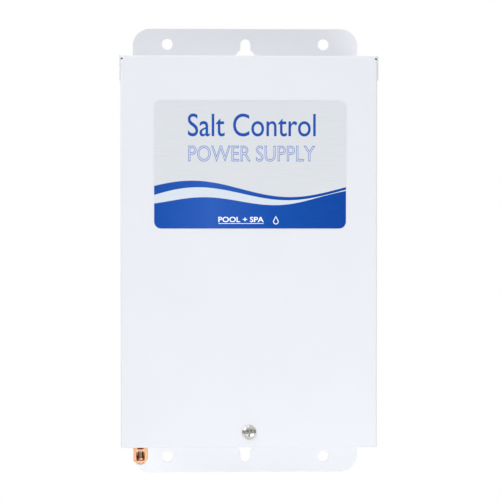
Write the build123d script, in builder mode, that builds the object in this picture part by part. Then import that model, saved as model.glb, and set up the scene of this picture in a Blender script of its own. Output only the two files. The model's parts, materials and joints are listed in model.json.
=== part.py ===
from build123d import *
import os
from math import sqrt

# Power unit of a salt chlorine generator: a sheet-metal box hung on a wall, its swing-up cover, and the
# transformer, rectifier and control board that it holds.
# Millimetres. The origin is the centre of the back panel's wall face. +X is to the right of a person who
# faces the unit, +Y goes into the wall and +Z is up, so the cover faces -Y. A depth is counted from the
# wall towards the front, so a point at depth d has y = -d.

# ------------------------------------------------------------------ driving dimensions: body
body_sheet = 1.2
body_width = 200.8
body_height = 304.8
body_depth = 116.5
return_width = 12.0
bend_outer = 1.6
bend_inner = 0.4
weld_flange = 12.0
top_lip = 12.0
bottom_lip = 21.0
end_wall_gap = 0.5

plate_width = 193.5
plate_height = 382.5
plate_corner = 14.7
fixing_spacing_x = 134.5
fixing_spacing_z = 356.0
fixing_radius = 4.75
keyhole_head_z = 165.6
keyhole_head_radius = 8.6
keyhole_tip_z = 182.5
keyhole_slot_radius = 4.3

# ------------------------------------------------------------------ driving dimensions: cover
cover_sheet = 1.0
cover_width = 204.0
cover_front = 119.2
cover_top = 157.05
cover_bottom = -154.45
cover_flange = 25.4
cover_crown = 1.2
ear_height = 19.0
ear_sheet = 1.0
ear_setback = 1.2
relief_radius = 0.8
relief_x = 100.9
relief_z = 154.5

hook_x = 62.0
hook_width = 22.0
hook_drop = 3.3
hook_foot = 8.5
hook_slot_width = 26.0
hook_slot_length = 7.4
hook_slot_shift = 0.1

label_width = 152.4
label_height = 101.6
label_corner = 5.5
label_x = 0.85
label_z = 70.6
label_thickness = 0.25

# ------------------------------------------------------------------ driving dimensions: fasteners
lock_z = -142.45
lock_head_radius = 5.6
lock_head_height = 2.6
lock_shank_radius = 2.41
lock_length = 12.7
lock_pitch = 0.8
lock_seat_gap = 0.03
lock_cover_hole = 2.9
lock_lip_hole = 2.7
retainer_radius = 5.0
retainer_thickness = 1.3
thread_gap = 0.05
thread_depth = 0.3
m5_radius = 2.4
m5_nut_flats = 8.0
m5_nut_height = 4.0
m3_radius = 1.45

# ------------------------------------------------------------------ driving dimensions: bonding lug
lug_x = -86.6
lug_width = 11.4
lug_height = 14.6
lug_corner = 2.6
lug_front = 114.0
lug_length = 10.0
lug_back = 0.9
lug_window_width = 6.7
lug_window_top = 5.6
lug_window_height = 7.7
lug_window_corner = 1.6
lug_strap = 1.6
tongue_rear = 85.0
tongue_corner = 4.0
lug_screw_depth = 93.0
lug_saddle_slot_width = 5.6
lug_saddle_slot = 2.3
lug_collar_radius = 3.1
lug_collar_height = 1.9
lug_screw_length = 9.0
lug_head_radius = 3.8
lug_head_height = 2.2
clamp_radius = 2.2
clamp_tip_gap = 0.3
clamp_head_radius = 3.8
clamp_head_height = 2.6

# ------------------------------------------------------------------ driving dimensions: bottom devices
device_depth = 62.0
socket_x = 30.0
socket_hole_radius = 10.0
socket_flange_radius = 14.0
socket_flange = 2.5
socket_shell_radius = 10.5
socket_nose = 8.0
socket_bore_radius = 8.0
socket_neck_radius = 9.8
socket_inside = 11.4
socket_insert = 5.0
socket_nut_flats = 26.0
socket_nut_height = 3.5
contact_radius = 0.9
contact_offset = 4.0
contact_tail_z = -134.0
contact_bore_radius = 0.5
contact_bore_depth = 6.0

breaker_x = -30.0
breaker_width = 16.0
breaker_length = 34.0
breaker_height = 26.0
breaker_neck_radius = 5.0
breaker_hole_radius = 5.2
breaker_neck = 6.0
breaker_bore_radius = 3.5
breaker_nut_flats = 13.0
breaker_nut_height = 2.6
breaker_tab_offset = 8.0
breaker_tab_height = 6.2
button_radius = 3.2
button_length = 15.0
button_reach = 2.6
button_cavity = 12.0

knockouts = [(-62.0, 11.1), (68.0, 14.1)]
knockout_slit = 0.6
knockout_bridge = 3.0

# ------------------------------------------------------------------ driving dimensions: transformer
transformer_z = 88.0
core_width = 105.0
core_length = 87.5
core_stack = 52.0
core_rear = 3.2
limb_width = 35.0
window_width = 17.5
window_length = 52.5
bobbin_wall = 1.2
bobbin_flange = 1.5
bobbin_width = 69.4
bobbin_height = 88.0
bobbin_play = 0.2
winding_width = 67.0
winding_height = 86.0
winding_corner = 6.0
strap_sheet = 1.5
strap_height = 46.0
strap_play = 0.1
foot_length = 18.0
stud_x = 64.0
stud_spread = 30.0
stud_length = 11.8

# ------------------------------------------------------------------ driving dimensions: rectifier
sink_width = 130.0
sink_height = 34.0
sink_base = 4.0
sink_z = 17.0
fin_height = 18.0
fin_thickness = 1.6
fin_pitch = 6.0
fin_count = 7
first_fin = 27.0
sink_stud_x = 20.0
rectifier_size = 28.6
rectifier_height = 7.5
spade_spread = 16.0
spade_width = 6.3
spade_thickness = 0.8
spade_length = 8.3

# ------------------------------------------------------------------ driving dimensions: control board
board_width = 156.0
board_height = 104.0
board_thickness = 1.6
board_z = -62.0
standoff = 12.0
standoff_flats = 6.0
board_hole_x = 144.0
board_hole_z = 92.0
board_hole_radius = 1.7

block_z = -96.0
block_height = 16.0
block_rise = 18.0
pole_pitch = 9.5
mains_block_x = -46.0
mains_poles = 4
output_block_x = 44.0
output_poles = 3
pole_pocket_radius = 3.4
pole_pocket_depth = 3.0
pole_entry_width = 5.0
pole_entry_depth = 5.0
lead_depth = 24.0

relay_centres = [(4.0, -60.0), (25.0, -60.0)]
relay_width = 16.0
relay_height = 29.0
relay_rise = 16.0
capacitor_centres = [(56.0, -34.0), (56.0, -60.0)]
capacitor_radius = 11.0
capacitor_rise = 34.0
resistor_centres = [(30.0, -22.0), (30.0, -35.0)]
resistor_length = 22.0
resistor_size = 9.0
chip_bodies = [(-28.0, -46.0, 36.0, 8.0, 3.6), (-28.0, -60.0, 10.0, 6.0, 2.0), (-8.0, -36.0, 6.0, 9.0, 2.4)]
choke_x = -66.0
choke_z = -50.0
choke_ring_radius = 8.0
choke_section_radius = 3.5
fuse_x = -50.0
fuse_z = -70.0
fuse_depth = 20.4
fuse_radius = 2.5
fuse_cap_radius = 2.65
fuse_half_glass = 6.0
fuse_cap_length = 4.0
clip_length = 3.6
clip_sheet = 0.5
clip_rise = 8.2
varistor_x = -18.0
varistor_z = -78.0
varistor_radius = 7.0
varistor_thickness = 4.0
varistor_lift = 1.6
varistor_lead = 0.5
header_x = -42.0
header_z = -24.0
header_length = 28.0
header_width = 9.0
header_rise = 9.0
header_wall = 1.5
header_pins_per_row = 8
header_pitch = 2.54
header_pin = 0.64
led_centres = [(-70.0, -28.0), (-64.0, -28.0), (-70.0, -20.0), (-64.0, -20.0)]
led_radius = 1.5
led_rise = 3.4

# ------------------------------------------------------------------ driving dimensions: ground and wiring
ground_x = -80.0
ground_z = -131.0
ring_radius = 5.0
ring_sheet = 0.8
barrel_radius = 2.0
barrel_depth = 3.2
barrel_bottom_z = -126.2
barrel_top_z = -122.8
wire_radius = 1.3
wire_bend = 3.5
wire_reach = 3.0
primary_columns = [(-24.0, 41.0, -88.0, -82.0, 0), (-18.0, 37.0, -84.0, -78.0, 1)]
tie_width = 9.8
tie_depth = 5.8
tie_wall = 1.0
tie_height = 2.5
tie_corner = 1.6
tie_spots = [(0.0, 30.7), (-40.0, 27.4)]

# ------------------------------------------------------------------ derived places
half_height = body_height / 2
lip_front = body_depth - body_sheet
lip_rear = lip_front - body_sheet
wall_top = half_height - body_sheet
wall_bottom = -wall_top
flange_rear = cover_front - cover_flange
flange_middle = cover_front - cover_flange / 2
cover_under = cover_top - cover_sheet
pivot_depth = flange_rear + cover_sheet / 2
pivot_z = half_height - body_sheet / 2
keyhole_slot_z = keyhole_tip_z - keyhole_slot_radius
core_middle = core_rear + core_length / 2
core_front = core_rear + core_length
coil_bottom_z = transformer_z - winding_height / 2
bobbin_rear = core_middle - window_length / 2 + bobbin_play
bobbin_length = window_length - 2 * bobbin_play
section_length = (bobbin_length - 3 * bobbin_flange) / 2
board_back = body_sheet + standoff
board_front = board_back + board_thickness
block_top_z = block_z + block_height / 2
block_bottom_z = block_z - block_height / 2
sink_front = body_sheet + sink_base
spade_tip = sink_front + rectifier_height + spade_length
lug_bottom_z = -half_height - lug_height
lug_foot = lug_height - lug_window_top - lug_window_height
breaker_top_z = wall_bottom + breaker_height

UP = (0, 0, 1)
DOWN = (0, 0, -1)
OUTWARD = (0, -1, 0)
SIDES = (-1, 1)


# ------------------------------------------------------------------ planes and shared shapes
def wall_plane(depth):
    """Plane parallel to the wall at a depth: local x is X, local y is Z, and extrusions come forwards."""
    return Plane.XZ.offset(depth)


def level(height):
    """Horizontal plane: local x is X and local y is Y."""
    return Plane.XY.offset(height)


def station(x):
    """Plane across the unit at x: local x is Y and local y is Z."""
    return Plane.YZ.offset(x)


def axial_plane(origin, direction):
    """Plane that holds an axis: local x leaves the axis sideways and local y runs along it."""
    sideways = Vector(1, 0, 0)
    return Plane(origin=origin, x_dir=sideways, z_dir=sideways.cross(Vector(*direction)))


def turned(origin, direction, outline):
    """Adds the solid that an outline of (radius, height along the axis) points sweeps round its axis."""
    with BuildSketch(axial_plane(origin, direction)) as half_section:
        with BuildLine():
            Polyline(*outline, close=True)
        make_face()
    revolve(half_section.sketch, axis=Axis(origin, direction))


def ridges(radius, start, length, pitch):
    """Outline points of a thread of that length, from start downwards along the axis."""
    points = []
    for turn in range(int(length / pitch)):
        points.append((radius, start - (turn + 0.25) * pitch))
        points.append((radius, start - (turn + 0.5) * pitch))
        points.append((radius - thread_depth, start - (turn + 0.8) * pitch))
    return points


def machine_screw(seat, out, head_radius, head_height, shank_radius, length, pitch, recess):
    """Adds a domed screw: the head stands on seat and faces out, and the shank runs the other way."""
    rim = 0.3 * head_height
    dome = head_height - rim
    dome_radius = (head_radius**2 + dome**2) / (2 * dome)
    shoulder = head_height - dome_radius + sqrt(dome_radius**2 - (head_radius / 2) ** 2)
    core_radius = shank_radius - thread_depth
    with BuildSketch(axial_plane(seat, out)) as half_section:
        with BuildLine():
            ThreePointArc((0, head_height), (head_radius / 2, shoulder), (head_radius, rim))
            Polyline(
                (head_radius, rim),
                (head_radius, 0),
                (core_radius, 0),
                *ridges(shank_radius, 0, length - pitch, pitch),
                (core_radius, -length + thread_depth),
                (core_radius - thread_depth, -length),
                (0, -length),
                (0, head_height),
            )
        make_face()
    revolve(half_section.sketch, axis=Axis(seat, out))
    crown = Vector(*seat) + Vector(*out) * head_height
    with BuildSketch(Plane(origin=crown, z_dir=out)) as driver:
        if recess == "cross":
            Rectangle(1.15 * head_radius, 0.26 * head_radius)
            Rectangle(0.26 * head_radius, 1.15 * head_radius)
        else:
            Rectangle(2.2 * head_radius, 0.26 * head_radius)
    extrude(driver.sketch, amount=-0.62 * head_height, mode=Mode.SUBTRACT)


def hex_nut(seat, out, flats, height, bore):
    """Adds a hexagon nut that stands on seat and faces out."""
    with BuildSketch(Plane(origin=seat, z_dir=out)) as outline:
        RegularPolygon(flats / 2, 6, major_radius=False)
        Circle(bore, mode=Mode.SUBTRACT)
    extrude(outline.sketch, amount=height)


def lead(points, bend=wire_bend):
    """Adds an insulated wire along straight runs joined by tangent arcs."""
    with BuildLine() as route:
        FilletPolyline(*points, radius=bend)
    with BuildSketch(Plane(origin=route.line @ 0, z_dir=route.line % 0)) as section:
        Circle(wire_radius)
    sweep(section.sketch, path=route.line)


def end_wall(inward, lip):
    """Adds the top or bottom wall: a tray with a rear weld flange and a lip behind the side returns.

    inward, 1 or -1, is the direction of +Z from the wall's outer face into the box.
    """
    outer = -inward * half_height
    inner = outer + inward * body_sheet
    end_wall_width = body_width - 2 * (body_sheet + end_wall_gap)
    with BuildSketch(station(-end_wall_width / 2)) as section:
        with BuildLine():
            Polyline(
                (-body_sheet, outer + inward * weld_flange),
                (-body_sheet, outer),
                (-lip_front, outer),
                (-lip_front, outer + inward * lip),
                (-lip_rear, outer + inward * lip),
                (-lip_rear, inner),
                (-2 * body_sheet, inner),
                (-2 * body_sheet, outer + inward * weld_flange),
                close=True,
            )
        make_face()
        fillet(section.vertices().filter_by_position(Axis.Y, outer, outer), bend_outer)
        fillet(section.vertices().filter_by_position(Axis.Y, inner, inner), bend_inner)
    extrude(section.sketch, amount=end_wall_width)


def pole_places(centre, poles):
    """X of each pole of a terminal block."""
    return [centre + (pole - (poles - 1) / 2) * pole_pitch for pole in range(poles)]


def terminal_block(centre, poles):
    """Adds a screw terminal block with wire entries above and below each pole."""
    block_width = poles * pole_pitch + 2
    entry_middle = (block_height - pole_entry_depth) / 2
    with BuildSketch(wall_plane(board_front)) as base:
        with Locations((centre, block_z)):
            RectangleRounded(block_width, block_height, 0.8)
    extrude(base.sketch, amount=block_rise)
    for x in pole_places(centre, poles):
        with BuildSketch(wall_plane(board_front + block_rise)) as pocket:
            with Locations((x, block_z)):
                Circle(pole_pocket_radius)
        extrude(pocket.sketch, amount=-pole_pocket_depth, mode=Mode.SUBTRACT)
        with BuildSketch(wall_plane(board_front + 5)) as bore:
            with Locations((x, block_z)):
                Circle(m3_radius + thread_gap)
        extrude(bore.sketch, amount=block_rise - 5, mode=Mode.SUBTRACT)
        with BuildSketch(wall_plane(lead_depth - pole_entry_width / 2)) as entries:
            with Locations((x, block_z + entry_middle), (x, block_z - entry_middle)):
                Rectangle(pole_entry_width, pole_entry_depth)
        extrude(entries.sketch, amount=pole_entry_width, mode=Mode.SUBTRACT)


# ------------------------------------------------------------------ sheet-metal body
with BuildPart() as enclosure_shell:
    with BuildSketch(level(-half_height)) as wall_section:
        with Locations((0, -body_depth / 2)):
            RectangleRounded(body_width, body_depth, bend_outer)
            RectangleRounded(
                body_width - 2 * body_sheet, body_depth - 2 * body_sheet, bend_inner, mode=Mode.SUBTRACT
            )
        with Locations((0, -body_depth)):
            Rectangle(body_width - 2 * return_width, 4 * body_sheet, mode=Mode.SUBTRACT)
    extrude(amount=body_height)
    with BuildSketch(wall_plane(0)):
        RectangleRounded(plate_width, plate_height, plate_corner)
    extrude(amount=body_sheet)
    with BuildSketch(wall_plane(0)):
        with GridLocations(fixing_spacing_x, fixing_spacing_z, 2, 2):
            Circle(fixing_radius)
        for end in SIDES:
            with Locations((0, end * keyhole_head_z)):
                Circle(keyhole_head_radius)
            with Locations((0, end * keyhole_slot_z)):
                Circle(keyhole_slot_radius)
            with Locations((0, end * (keyhole_head_z + keyhole_slot_z) / 2)):
                Rectangle(2 * keyhole_slot_radius, keyhole_slot_z - keyhole_head_z)
    extrude(amount=body_sheet, mode=Mode.SUBTRACT)

with BuildPart() as top_wall:
    end_wall(-1, top_lip)
    with BuildSketch(level(half_height - 2 * body_sheet)):
        for side in SIDES:
            with Locations((side * hook_x, -pivot_depth + hook_slot_shift)):
                Rectangle(hook_slot_width, hook_slot_length)
    extrude(amount=3 * body_sheet, mode=Mode.SUBTRACT)

with BuildPart() as bottom_wall:
    end_wall(1, bottom_lip)
    with BuildSketch(level(-half_height)):
        with Locations((socket_x, -device_depth)):
            Circle(socket_hole_radius)
        with Locations((breaker_x, -device_depth)):
            Circle(breaker_hole_radius)
        with Locations((lug_x, -lug_screw_depth)):
            Circle(m5_radius + 0.2)
    extrude(amount=body_sheet, mode=Mode.SUBTRACT)
    for knockout_x, knockout_radius in knockouts:
        with BuildSketch(level(-half_height)):
            with Locations((knockout_x, -device_depth)):
                Circle(knockout_radius)
                Circle(knockout_radius - knockout_slit, mode=Mode.SUBTRACT)
                Rectangle(knockout_bridge, 3 * knockout_radius, mode=Mode.SUBTRACT)
        extrude(amount=body_sheet, mode=Mode.SUBTRACT)
    with BuildSketch(wall_plane(lip_rear)):
        with Locations((0, lock_z)):
            Circle(lock_lip_hole)
    extrude(amount=body_sheet, mode=Mode.SUBTRACT)

# ------------------------------------------------------------------ swing cover
with BuildPart() as front_cover:
    with BuildSketch(level(cover_bottom)) as cover_section:
        with Locations((0, -flange_middle)):
            Rectangle(cover_width, cover_flange)
        fillet(cover_section.vertices().group_by(Axis.Y)[0], bend_outer)
        with Locations((0, -flange_middle + cover_sheet)):
            Rectangle(cover_width - 2 * cover_sheet, cover_flange, mode=Mode.SUBTRACT)
    extrude(amount=cover_under - cover_bottom)
    with BuildSketch(level(cover_under)) as top_flange:
        with Locations((0, -flange_middle)):
            Rectangle(cover_width, cover_flange)
        fillet(top_flange.vertices().group_by(Axis.Y)[0], bend_outer)
    extrude(amount=cover_sheet)
    long_edges = front_cover.edges().filter_by(Axis.X)
    fillet(long_edges.sort_by(lambda edge: edge.center().Z - edge.center().Y)[-1], cover_crown)
    # An ear folds down from each end of the top flange, outside the side flange.
    for side in SIDES:
        with BuildSketch(wall_plane(flange_rear)) as ear:
            with Locations((side * (cover_width + ear_sheet) / 2, cover_top - ear_height / 2)):
                Rectangle(ear_sheet, ear_height)
            with Locations((side * (cover_width / 2 - ear_sheet / 2), cover_under + cover_sheet / 2)):
                Rectangle(3 * ear_sheet, cover_sheet)
            fillet(ear.vertices().sort_by(lambda corner: corner.Y + side * corner.X)[-1], 0.9 * ear_sheet)
        extrude(amount=cover_flange - ear_setback)
    # Two hook tabs fold down from the rear edge of the top flange.
    hook_bottom = pivot_z - hook_drop
    for side in SIDES:
        with BuildSketch(station(side * hook_x - hook_width / 2)):
            with Locations((-pivot_depth, (cover_under + hook_bottom) / 2)):
                Rectangle(cover_sheet, cover_under - hook_bottom)
            with Locations((-pivot_depth + (hook_foot - cover_sheet) / 2, hook_bottom + cover_sheet / 2)):
                Rectangle(hook_foot, cover_sheet)
        extrude(amount=hook_width)
    with BuildSketch(wall_plane(cover_front - 3 * cover_sheet)):
        for side in SIDES:
            with Locations((side * relief_x, relief_z)):
                Circle(relief_radius)
        with Locations((0, lock_z)):
            Circle(lock_cover_hole)
    extrude(amount=4 * cover_sheet, mode=Mode.SUBTRACT)

with BuildPart() as overlay_label:
    with BuildSketch(wall_plane(cover_front)):
        with Locations((label_x, label_z)):
            RectangleRounded(label_width, label_height, label_corner)
    extrude(amount=label_thickness)

# ------------------------------------------------------------------ cover lock
with BuildPart() as lock_screw:
    machine_screw(
        (0, -cover_front - lock_seat_gap, lock_z),
        OUTWARD,
        lock_head_radius,
        lock_head_height,
        lock_shank_radius,
        lock_length,
        lock_pitch,
        "cross",
    )

with BuildPart() as lock_screw_retainer:
    with BuildSketch(wall_plane(cover_front - cover_sheet - retainer_thickness)):
        with Locations((0, lock_z)):
            Circle(retainer_radius)
            Circle(lock_shank_radius + thread_gap, mode=Mode.SUBTRACT)
    extrude(amount=retainer_thickness)

with BuildPart() as lock_screw_nut:
    hex_nut((0, -lip_rear + 3.2, lock_z), OUTWARD, 9.5, 3.2, lock_shank_radius + thread_gap)

# ------------------------------------------------------------------ bonding lug under the bottom wall
with BuildPart() as ground_lug:
    with BuildSketch(wall_plane(lug_front - lug_length)) as loop:
        with Locations((lug_x, -half_height - lug_height / 2)):
            Rectangle(lug_width, lug_height)
        fillet(loop.vertices().group_by(Axis.Y)[0], lug_corner)
    extrude(amount=lug_length)
    with BuildSketch(wall_plane(lug_front)):
        with Locations((lug_x, -half_height - lug_window_top - lug_window_height / 2)):
            RectangleRounded(lug_window_width, lug_window_height, lug_window_corner)
        with Locations((lug_x, -half_height - lug_strap - lug_saddle_slot / 2)):
            SlotOverall(lug_saddle_slot_width, lug_saddle_slot)
    extrude(amount=lug_back - lug_length, mode=Mode.SUBTRACT)
    with BuildSketch(level(lug_bottom_z + lug_foot)):
        with Locations((lug_x, -lug_front + lug_length / 2)):
            Circle(lug_collar_radius)
    extrude(amount=lug_collar_height)
    tongue_length = lug_front - lug_length / 2 - tongue_rear
    with BuildSketch(level(-half_height - lug_strap)) as tongue:
        with Locations((lug_x, -tongue_rear - tongue_length / 2)):
            Rectangle(lug_width, tongue_length)
        fillet(tongue.vertices().group_by(Axis.Y)[-1], tongue_corner)
        with Locations((lug_x, -lug_screw_depth)):
            Circle(m5_radius + 0.2, mode=Mode.SUBTRACT)
    extrude(amount=lug_strap)
    with BuildSketch(level(lug_bottom_z)):
        with Locations((lug_x, -lug_front + lug_length / 2)):
            Circle(clamp_radius + thread_gap)
    extrude(amount=lug_foot + lug_collar_height, mode=Mode.SUBTRACT)

with BuildPart() as lug_clamp_screw:
    machine_screw(
        (lug_x, -lug_front + lug_length / 2, lug_bottom_z),
        DOWN,
        clamp_head_radius,
        clamp_head_height,
        clamp_radius,
        lug_height - lug_window_top - clamp_tip_gap,
        lock_pitch,
        "slot",
    )

with BuildPart() as lug_mount_screw:
    machine_screw(
        (lug_x, -lug_screw_depth, -half_height - lug_strap),
        DOWN,
        lug_head_radius,
        lug_head_height,
        m5_radius,
        lug_screw_length,
        lock_pitch,
        "slot",
    )

with BuildPart() as lug_mount_nut:
    hex_nut((lug_x, -lug_screw_depth, wall_bottom), UP, m5_nut_flats, m5_nut_height, m5_radius + thread_gap)

# ------------------------------------------------------------------ cell cable socket
with BuildPart() as cell_socket:
    turned(
        (socket_x, -device_depth, -half_height),
        UP,
        [
            (socket_bore_radius, -socket_nose),
            (socket_shell_radius, -socket_nose),
            (socket_shell_radius, -socket_flange),
            (socket_flange_radius, -socket_flange),
            (socket_flange_radius, 0),
            (socket_neck_radius, 0),
            (socket_neck_radius, socket_inside),
            (0, socket_inside),
            (0, socket_inside - socket_insert),
            (socket_bore_radius, socket_inside - socket_insert),
        ],
    )
    with BuildSketch(level(-half_height)):
        with Locations((socket_x, -device_depth)):
            with GridLocations(2 * contact_offset, 2 * contact_offset, 2, 2):
                Circle(contact_radius)
    extrude(amount=socket_inside, mode=Mode.SUBTRACT)

with BuildPart() as socket_ring_nut:
    hex_nut(
        (socket_x, -device_depth, wall_bottom),
        UP,
        socket_nut_flats,
        socket_nut_height,
        socket_neck_radius + thread_gap,
    )

with BuildPart() as socket_contacts:
    insert_face_z = -half_height + socket_inside - socket_insert
    with BuildSketch(level(insert_face_z)):
        with Locations((socket_x, -device_depth)):
            with GridLocations(2 * contact_offset, 2 * contact_offset, 2, 2):
                Circle(contact_radius)
    extrude(amount=contact_tail_z - insert_face_z)
    with BuildSketch(level(insert_face_z)):
        with Locations((socket_x, -device_depth)):
            with GridLocations(2 * contact_offset, 2 * contact_offset, 2, 2):
                Circle(contact_bore_radius)
    extrude(amount=contact_bore_depth, mode=Mode.SUBTRACT)

# ------------------------------------------------------------------ reset breaker
with BuildPart() as reset_breaker:
    with BuildSketch(level(wall_bottom)):
        with Locations((breaker_x, -device_depth)):
            RectangleRounded(breaker_width, breaker_length, 1.0)
    extrude(amount=breaker_height)
    with BuildSketch(level(-half_height - breaker_neck)):
        with Locations((breaker_x, -device_depth)):
            Circle(breaker_neck_radius)
    extrude(amount=breaker_neck + body_sheet)
    with BuildSketch(level(-half_height - breaker_neck)):
        with Locations((breaker_x, -device_depth)):
            Circle(breaker_bore_radius)
    extrude(amount=breaker_neck + body_sheet + button_cavity, mode=Mode.SUBTRACT)
    with BuildSketch(level(breaker_top_z)):
        for side in SIDES:
            with Locations((breaker_x, -device_depth + side * breaker_tab_offset)):
                Rectangle(spade_width, spade_thickness)
    extrude(amount=breaker_tab_height)

with BuildPart() as breaker_nut:
    hex_nut(
        (breaker_x, -device_depth, -half_height),
        DOWN,
        breaker_nut_flats,
        breaker_nut_height,
        breaker_neck_radius + thread_gap,
    )

with BuildPart() as breaker_button:
    with BuildSketch(level(-half_height - breaker_neck - button_reach)):
        with Locations((breaker_x, -device_depth)):
            Circle(button_radius)
    extrude(amount=button_length)
    chamfer(breaker_button.edges().group_by(Axis.Z)[0], 0.5)

# ------------------------------------------------------------------ transformer
with BuildPart() as transformer_core:
    with BuildSketch(level(transformer_z - core_stack / 2)):
        with Locations((0, -core_middle)):
            Rectangle(core_width, core_length)
            with GridLocations(limb_width + window_width, 0, 2, 1):
                Rectangle(window_width, window_length, mode=Mode.SUBTRACT)
    extrude(amount=core_stack)

limb_clear_width = limb_width + 2 * bobbin_play
limb_clear_height = core_stack + 2 * bobbin_play
tube_width = limb_clear_width + 2 * bobbin_wall
tube_height = limb_clear_height + 2 * bobbin_wall

with BuildPart() as transformer_bobbin:
    with BuildSketch(wall_plane(bobbin_rear)):
        with Locations((0, transformer_z)):
            Rectangle(tube_width, tube_height)
            Rectangle(limb_clear_width, limb_clear_height, mode=Mode.SUBTRACT)
    extrude(amount=bobbin_length)
    for flange_step in range(3):
        with BuildSketch(wall_plane(bobbin_rear + flange_step * (section_length + bobbin_flange))):
            with Locations((0, transformer_z)):
                RectangleRounded(bobbin_width, bobbin_height, bobbin_flange)
                Rectangle(limb_clear_width, limb_clear_height, mode=Mode.SUBTRACT)
        extrude(amount=bobbin_flange)


def winding(section_index):
    """Adds one section's coil, wound round the bobbin's tube between two flanges."""
    rear = bobbin_rear + bobbin_flange + section_index * (section_length + bobbin_flange)
    with BuildSketch(wall_plane(rear)) as turns:
        with Locations((0, transformer_z)):
            RectangleRounded(winding_width, winding_height, winding_corner)
            Rectangle(tube_width, tube_height, mode=Mode.SUBTRACT)
    extrude(turns.sketch, amount=section_length)


with BuildPart() as primary_winding:
    winding(0)

with BuildPart() as secondary_winding:
    winding(1)

with BuildPart() as transformer_frame:
    strap_outer = core_width + 2 * (strap_play + strap_sheet)
    strap_inner = core_width + 2 * strap_play
    strap_front = core_front + strap_play
    with BuildSketch(level(transformer_z - strap_height / 2)) as strap_section:
        with Locations((0, -(strap_front + strap_sheet + body_sheet) / 2)):
            Rectangle(strap_outer, strap_front + strap_sheet - body_sheet)
        fillet(strap_section.vertices().group_by(Axis.Y)[0], 2 * strap_sheet)
        with Locations((0, -(strap_front + body_sheet) / 2)):
            Rectangle(strap_inner, strap_front - body_sheet, mode=Mode.SUBTRACT)
        for side in SIDES:
            with Locations((side * (strap_outer + foot_length) / 2, -body_sheet - strap_sheet / 2)):
                Rectangle(foot_length, strap_sheet)
    extrude(amount=strap_height)
    with BuildSketch(wall_plane(body_sheet)):
        with Locations((0, transformer_z)):
            with GridLocations(2 * stud_x, stud_spread, 2, 2):
                SlotOverall(9.0, 2 * m5_radius + 0.8)
    extrude(amount=strap_sheet, mode=Mode.SUBTRACT)

# ------------------------------------------------------------------ weld studs of the back panel
stud_places = [(side * stud_x, transformer_z + end * stud_spread / 2) for side in SIDES for end in SIDES]
sink_stud_places = [(side * sink_stud_x, sink_z) for side in SIDES]


def weld_stud(x, z):
    """Adds an M5 stud that stands on the inside of the back panel."""
    taper = 0.6
    shoulder = stud_length - taper
    turned(
        (x, -body_sheet, z),
        OUTWARD,
        [(0, 0), (m5_radius, 0), (m5_radius, shoulder), (m5_radius - taper, stud_length), (0, stud_length)],
    )


def m5_nut(seat, out):
    """Adds an M5 nut that stands on seat and faces out."""
    hex_nut(seat, out, m5_nut_flats, m5_nut_height, m5_radius + thread_gap)


with BuildPart() as panel_studs:
    for x, z in stud_places + sink_stud_places:
        weld_stud(x, z)

with BuildPart() as stud_nuts:
    for x, z in stud_places:
        m5_nut((x, -body_sheet - strap_sheet, z), OUTWARD)
    for x, z in sink_stud_places:
        m5_nut((x, -sink_front, z), OUTWARD)

# ------------------------------------------------------------------ rectifier on its heat sink
with BuildPart() as heat_sink:
    with BuildSketch(wall_plane(body_sheet)):
        with Locations((0, sink_z)):
            Rectangle(sink_width, sink_height)
            Circle(m5_radius + thread_gap, mode=Mode.SUBTRACT)
            with GridLocations(2 * sink_stud_x, 0, 2, 1):
                Circle(m5_radius + 0.2, mode=Mode.SUBTRACT)
    extrude(amount=sink_base)
    with BuildSketch(wall_plane(sink_front)):
        for side in SIDES:
            for fin in range(fin_count):
                with Locations((side * (first_fin + fin * fin_pitch), sink_z)):
                    Rectangle(fin_thickness, sink_height)
    extrude(amount=fin_height)

with BuildPart() as bridge_rectifier:
    with BuildSketch(wall_plane(sink_front)):
        with Locations((0, sink_z)):
            RectangleRounded(rectifier_size, rectifier_size, 2.0)
            Circle(m5_radius + 0.2, mode=Mode.SUBTRACT)
    extrude(amount=rectifier_height)

with BuildPart() as rectifier_spades:
    with BuildSketch(wall_plane(sink_front + rectifier_height)):
        with Locations((0, sink_z)):
            with GridLocations(spade_spread, spade_spread, 2, 2):
                Rectangle(spade_width, spade_thickness)
    extrude(amount=spade_length)

with BuildPart() as rectifier_screw:
    machine_screw(
        (0, -sink_front - rectifier_height, sink_z), OUTWARD, 4.4, 2.6, m5_radius, 10.0, lock_pitch, "cross"
    )

# ------------------------------------------------------------------ control board and its standoffs
with BuildPart() as circuit_board:
    with BuildSketch(wall_plane(board_back)):
        with Locations((0, board_z)):
            RectangleRounded(board_width, board_height, 2.0)
            with GridLocations(board_hole_x, board_hole_z, 2, 2):
                Circle(board_hole_radius, mode=Mode.SUBTRACT)
    extrude(amount=board_thickness)

with BuildPart() as board_standoffs:
    with BuildSketch(wall_plane(body_sheet)):
        with Locations((0, board_z)):
            with GridLocations(board_hole_x, board_hole_z, 2, 2):
                RegularPolygon(standoff_flats / 2, 6, major_radius=False)
                Circle(m3_radius + thread_gap, mode=Mode.SUBTRACT)
    extrude(amount=standoff)

with BuildPart() as board_screws:
    for x_side in SIDES:
        for z_side in SIDES:
            machine_screw(
                (x_side * board_hole_x / 2, -board_front, board_z + z_side * board_hole_z / 2),
                OUTWARD,
                2.8,
                2.0,
                m3_radius,
                8.0,
                lock_pitch,
                "cross",
            )

# ------------------------------------------------------------------ parts on the board
with BuildPart() as mains_terminal_block:
    terminal_block(mains_block_x, mains_poles)

with BuildPart() as output_terminal_block:
    terminal_block(output_block_x, output_poles)

mains_pole_x = pole_places(mains_block_x, mains_poles)
output_pole_x = pole_places(output_block_x, output_poles)

with BuildPart() as terminal_screws:
    for x in mains_pole_x + output_pole_x:
        machine_screw(
            (x, -board_front - block_rise + pole_pocket_depth, block_z),
            OUTWARD,
            3.0,
            1.8,
            m3_radius,
            4.0,
            lock_pitch,
            "slot",
        )

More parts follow.
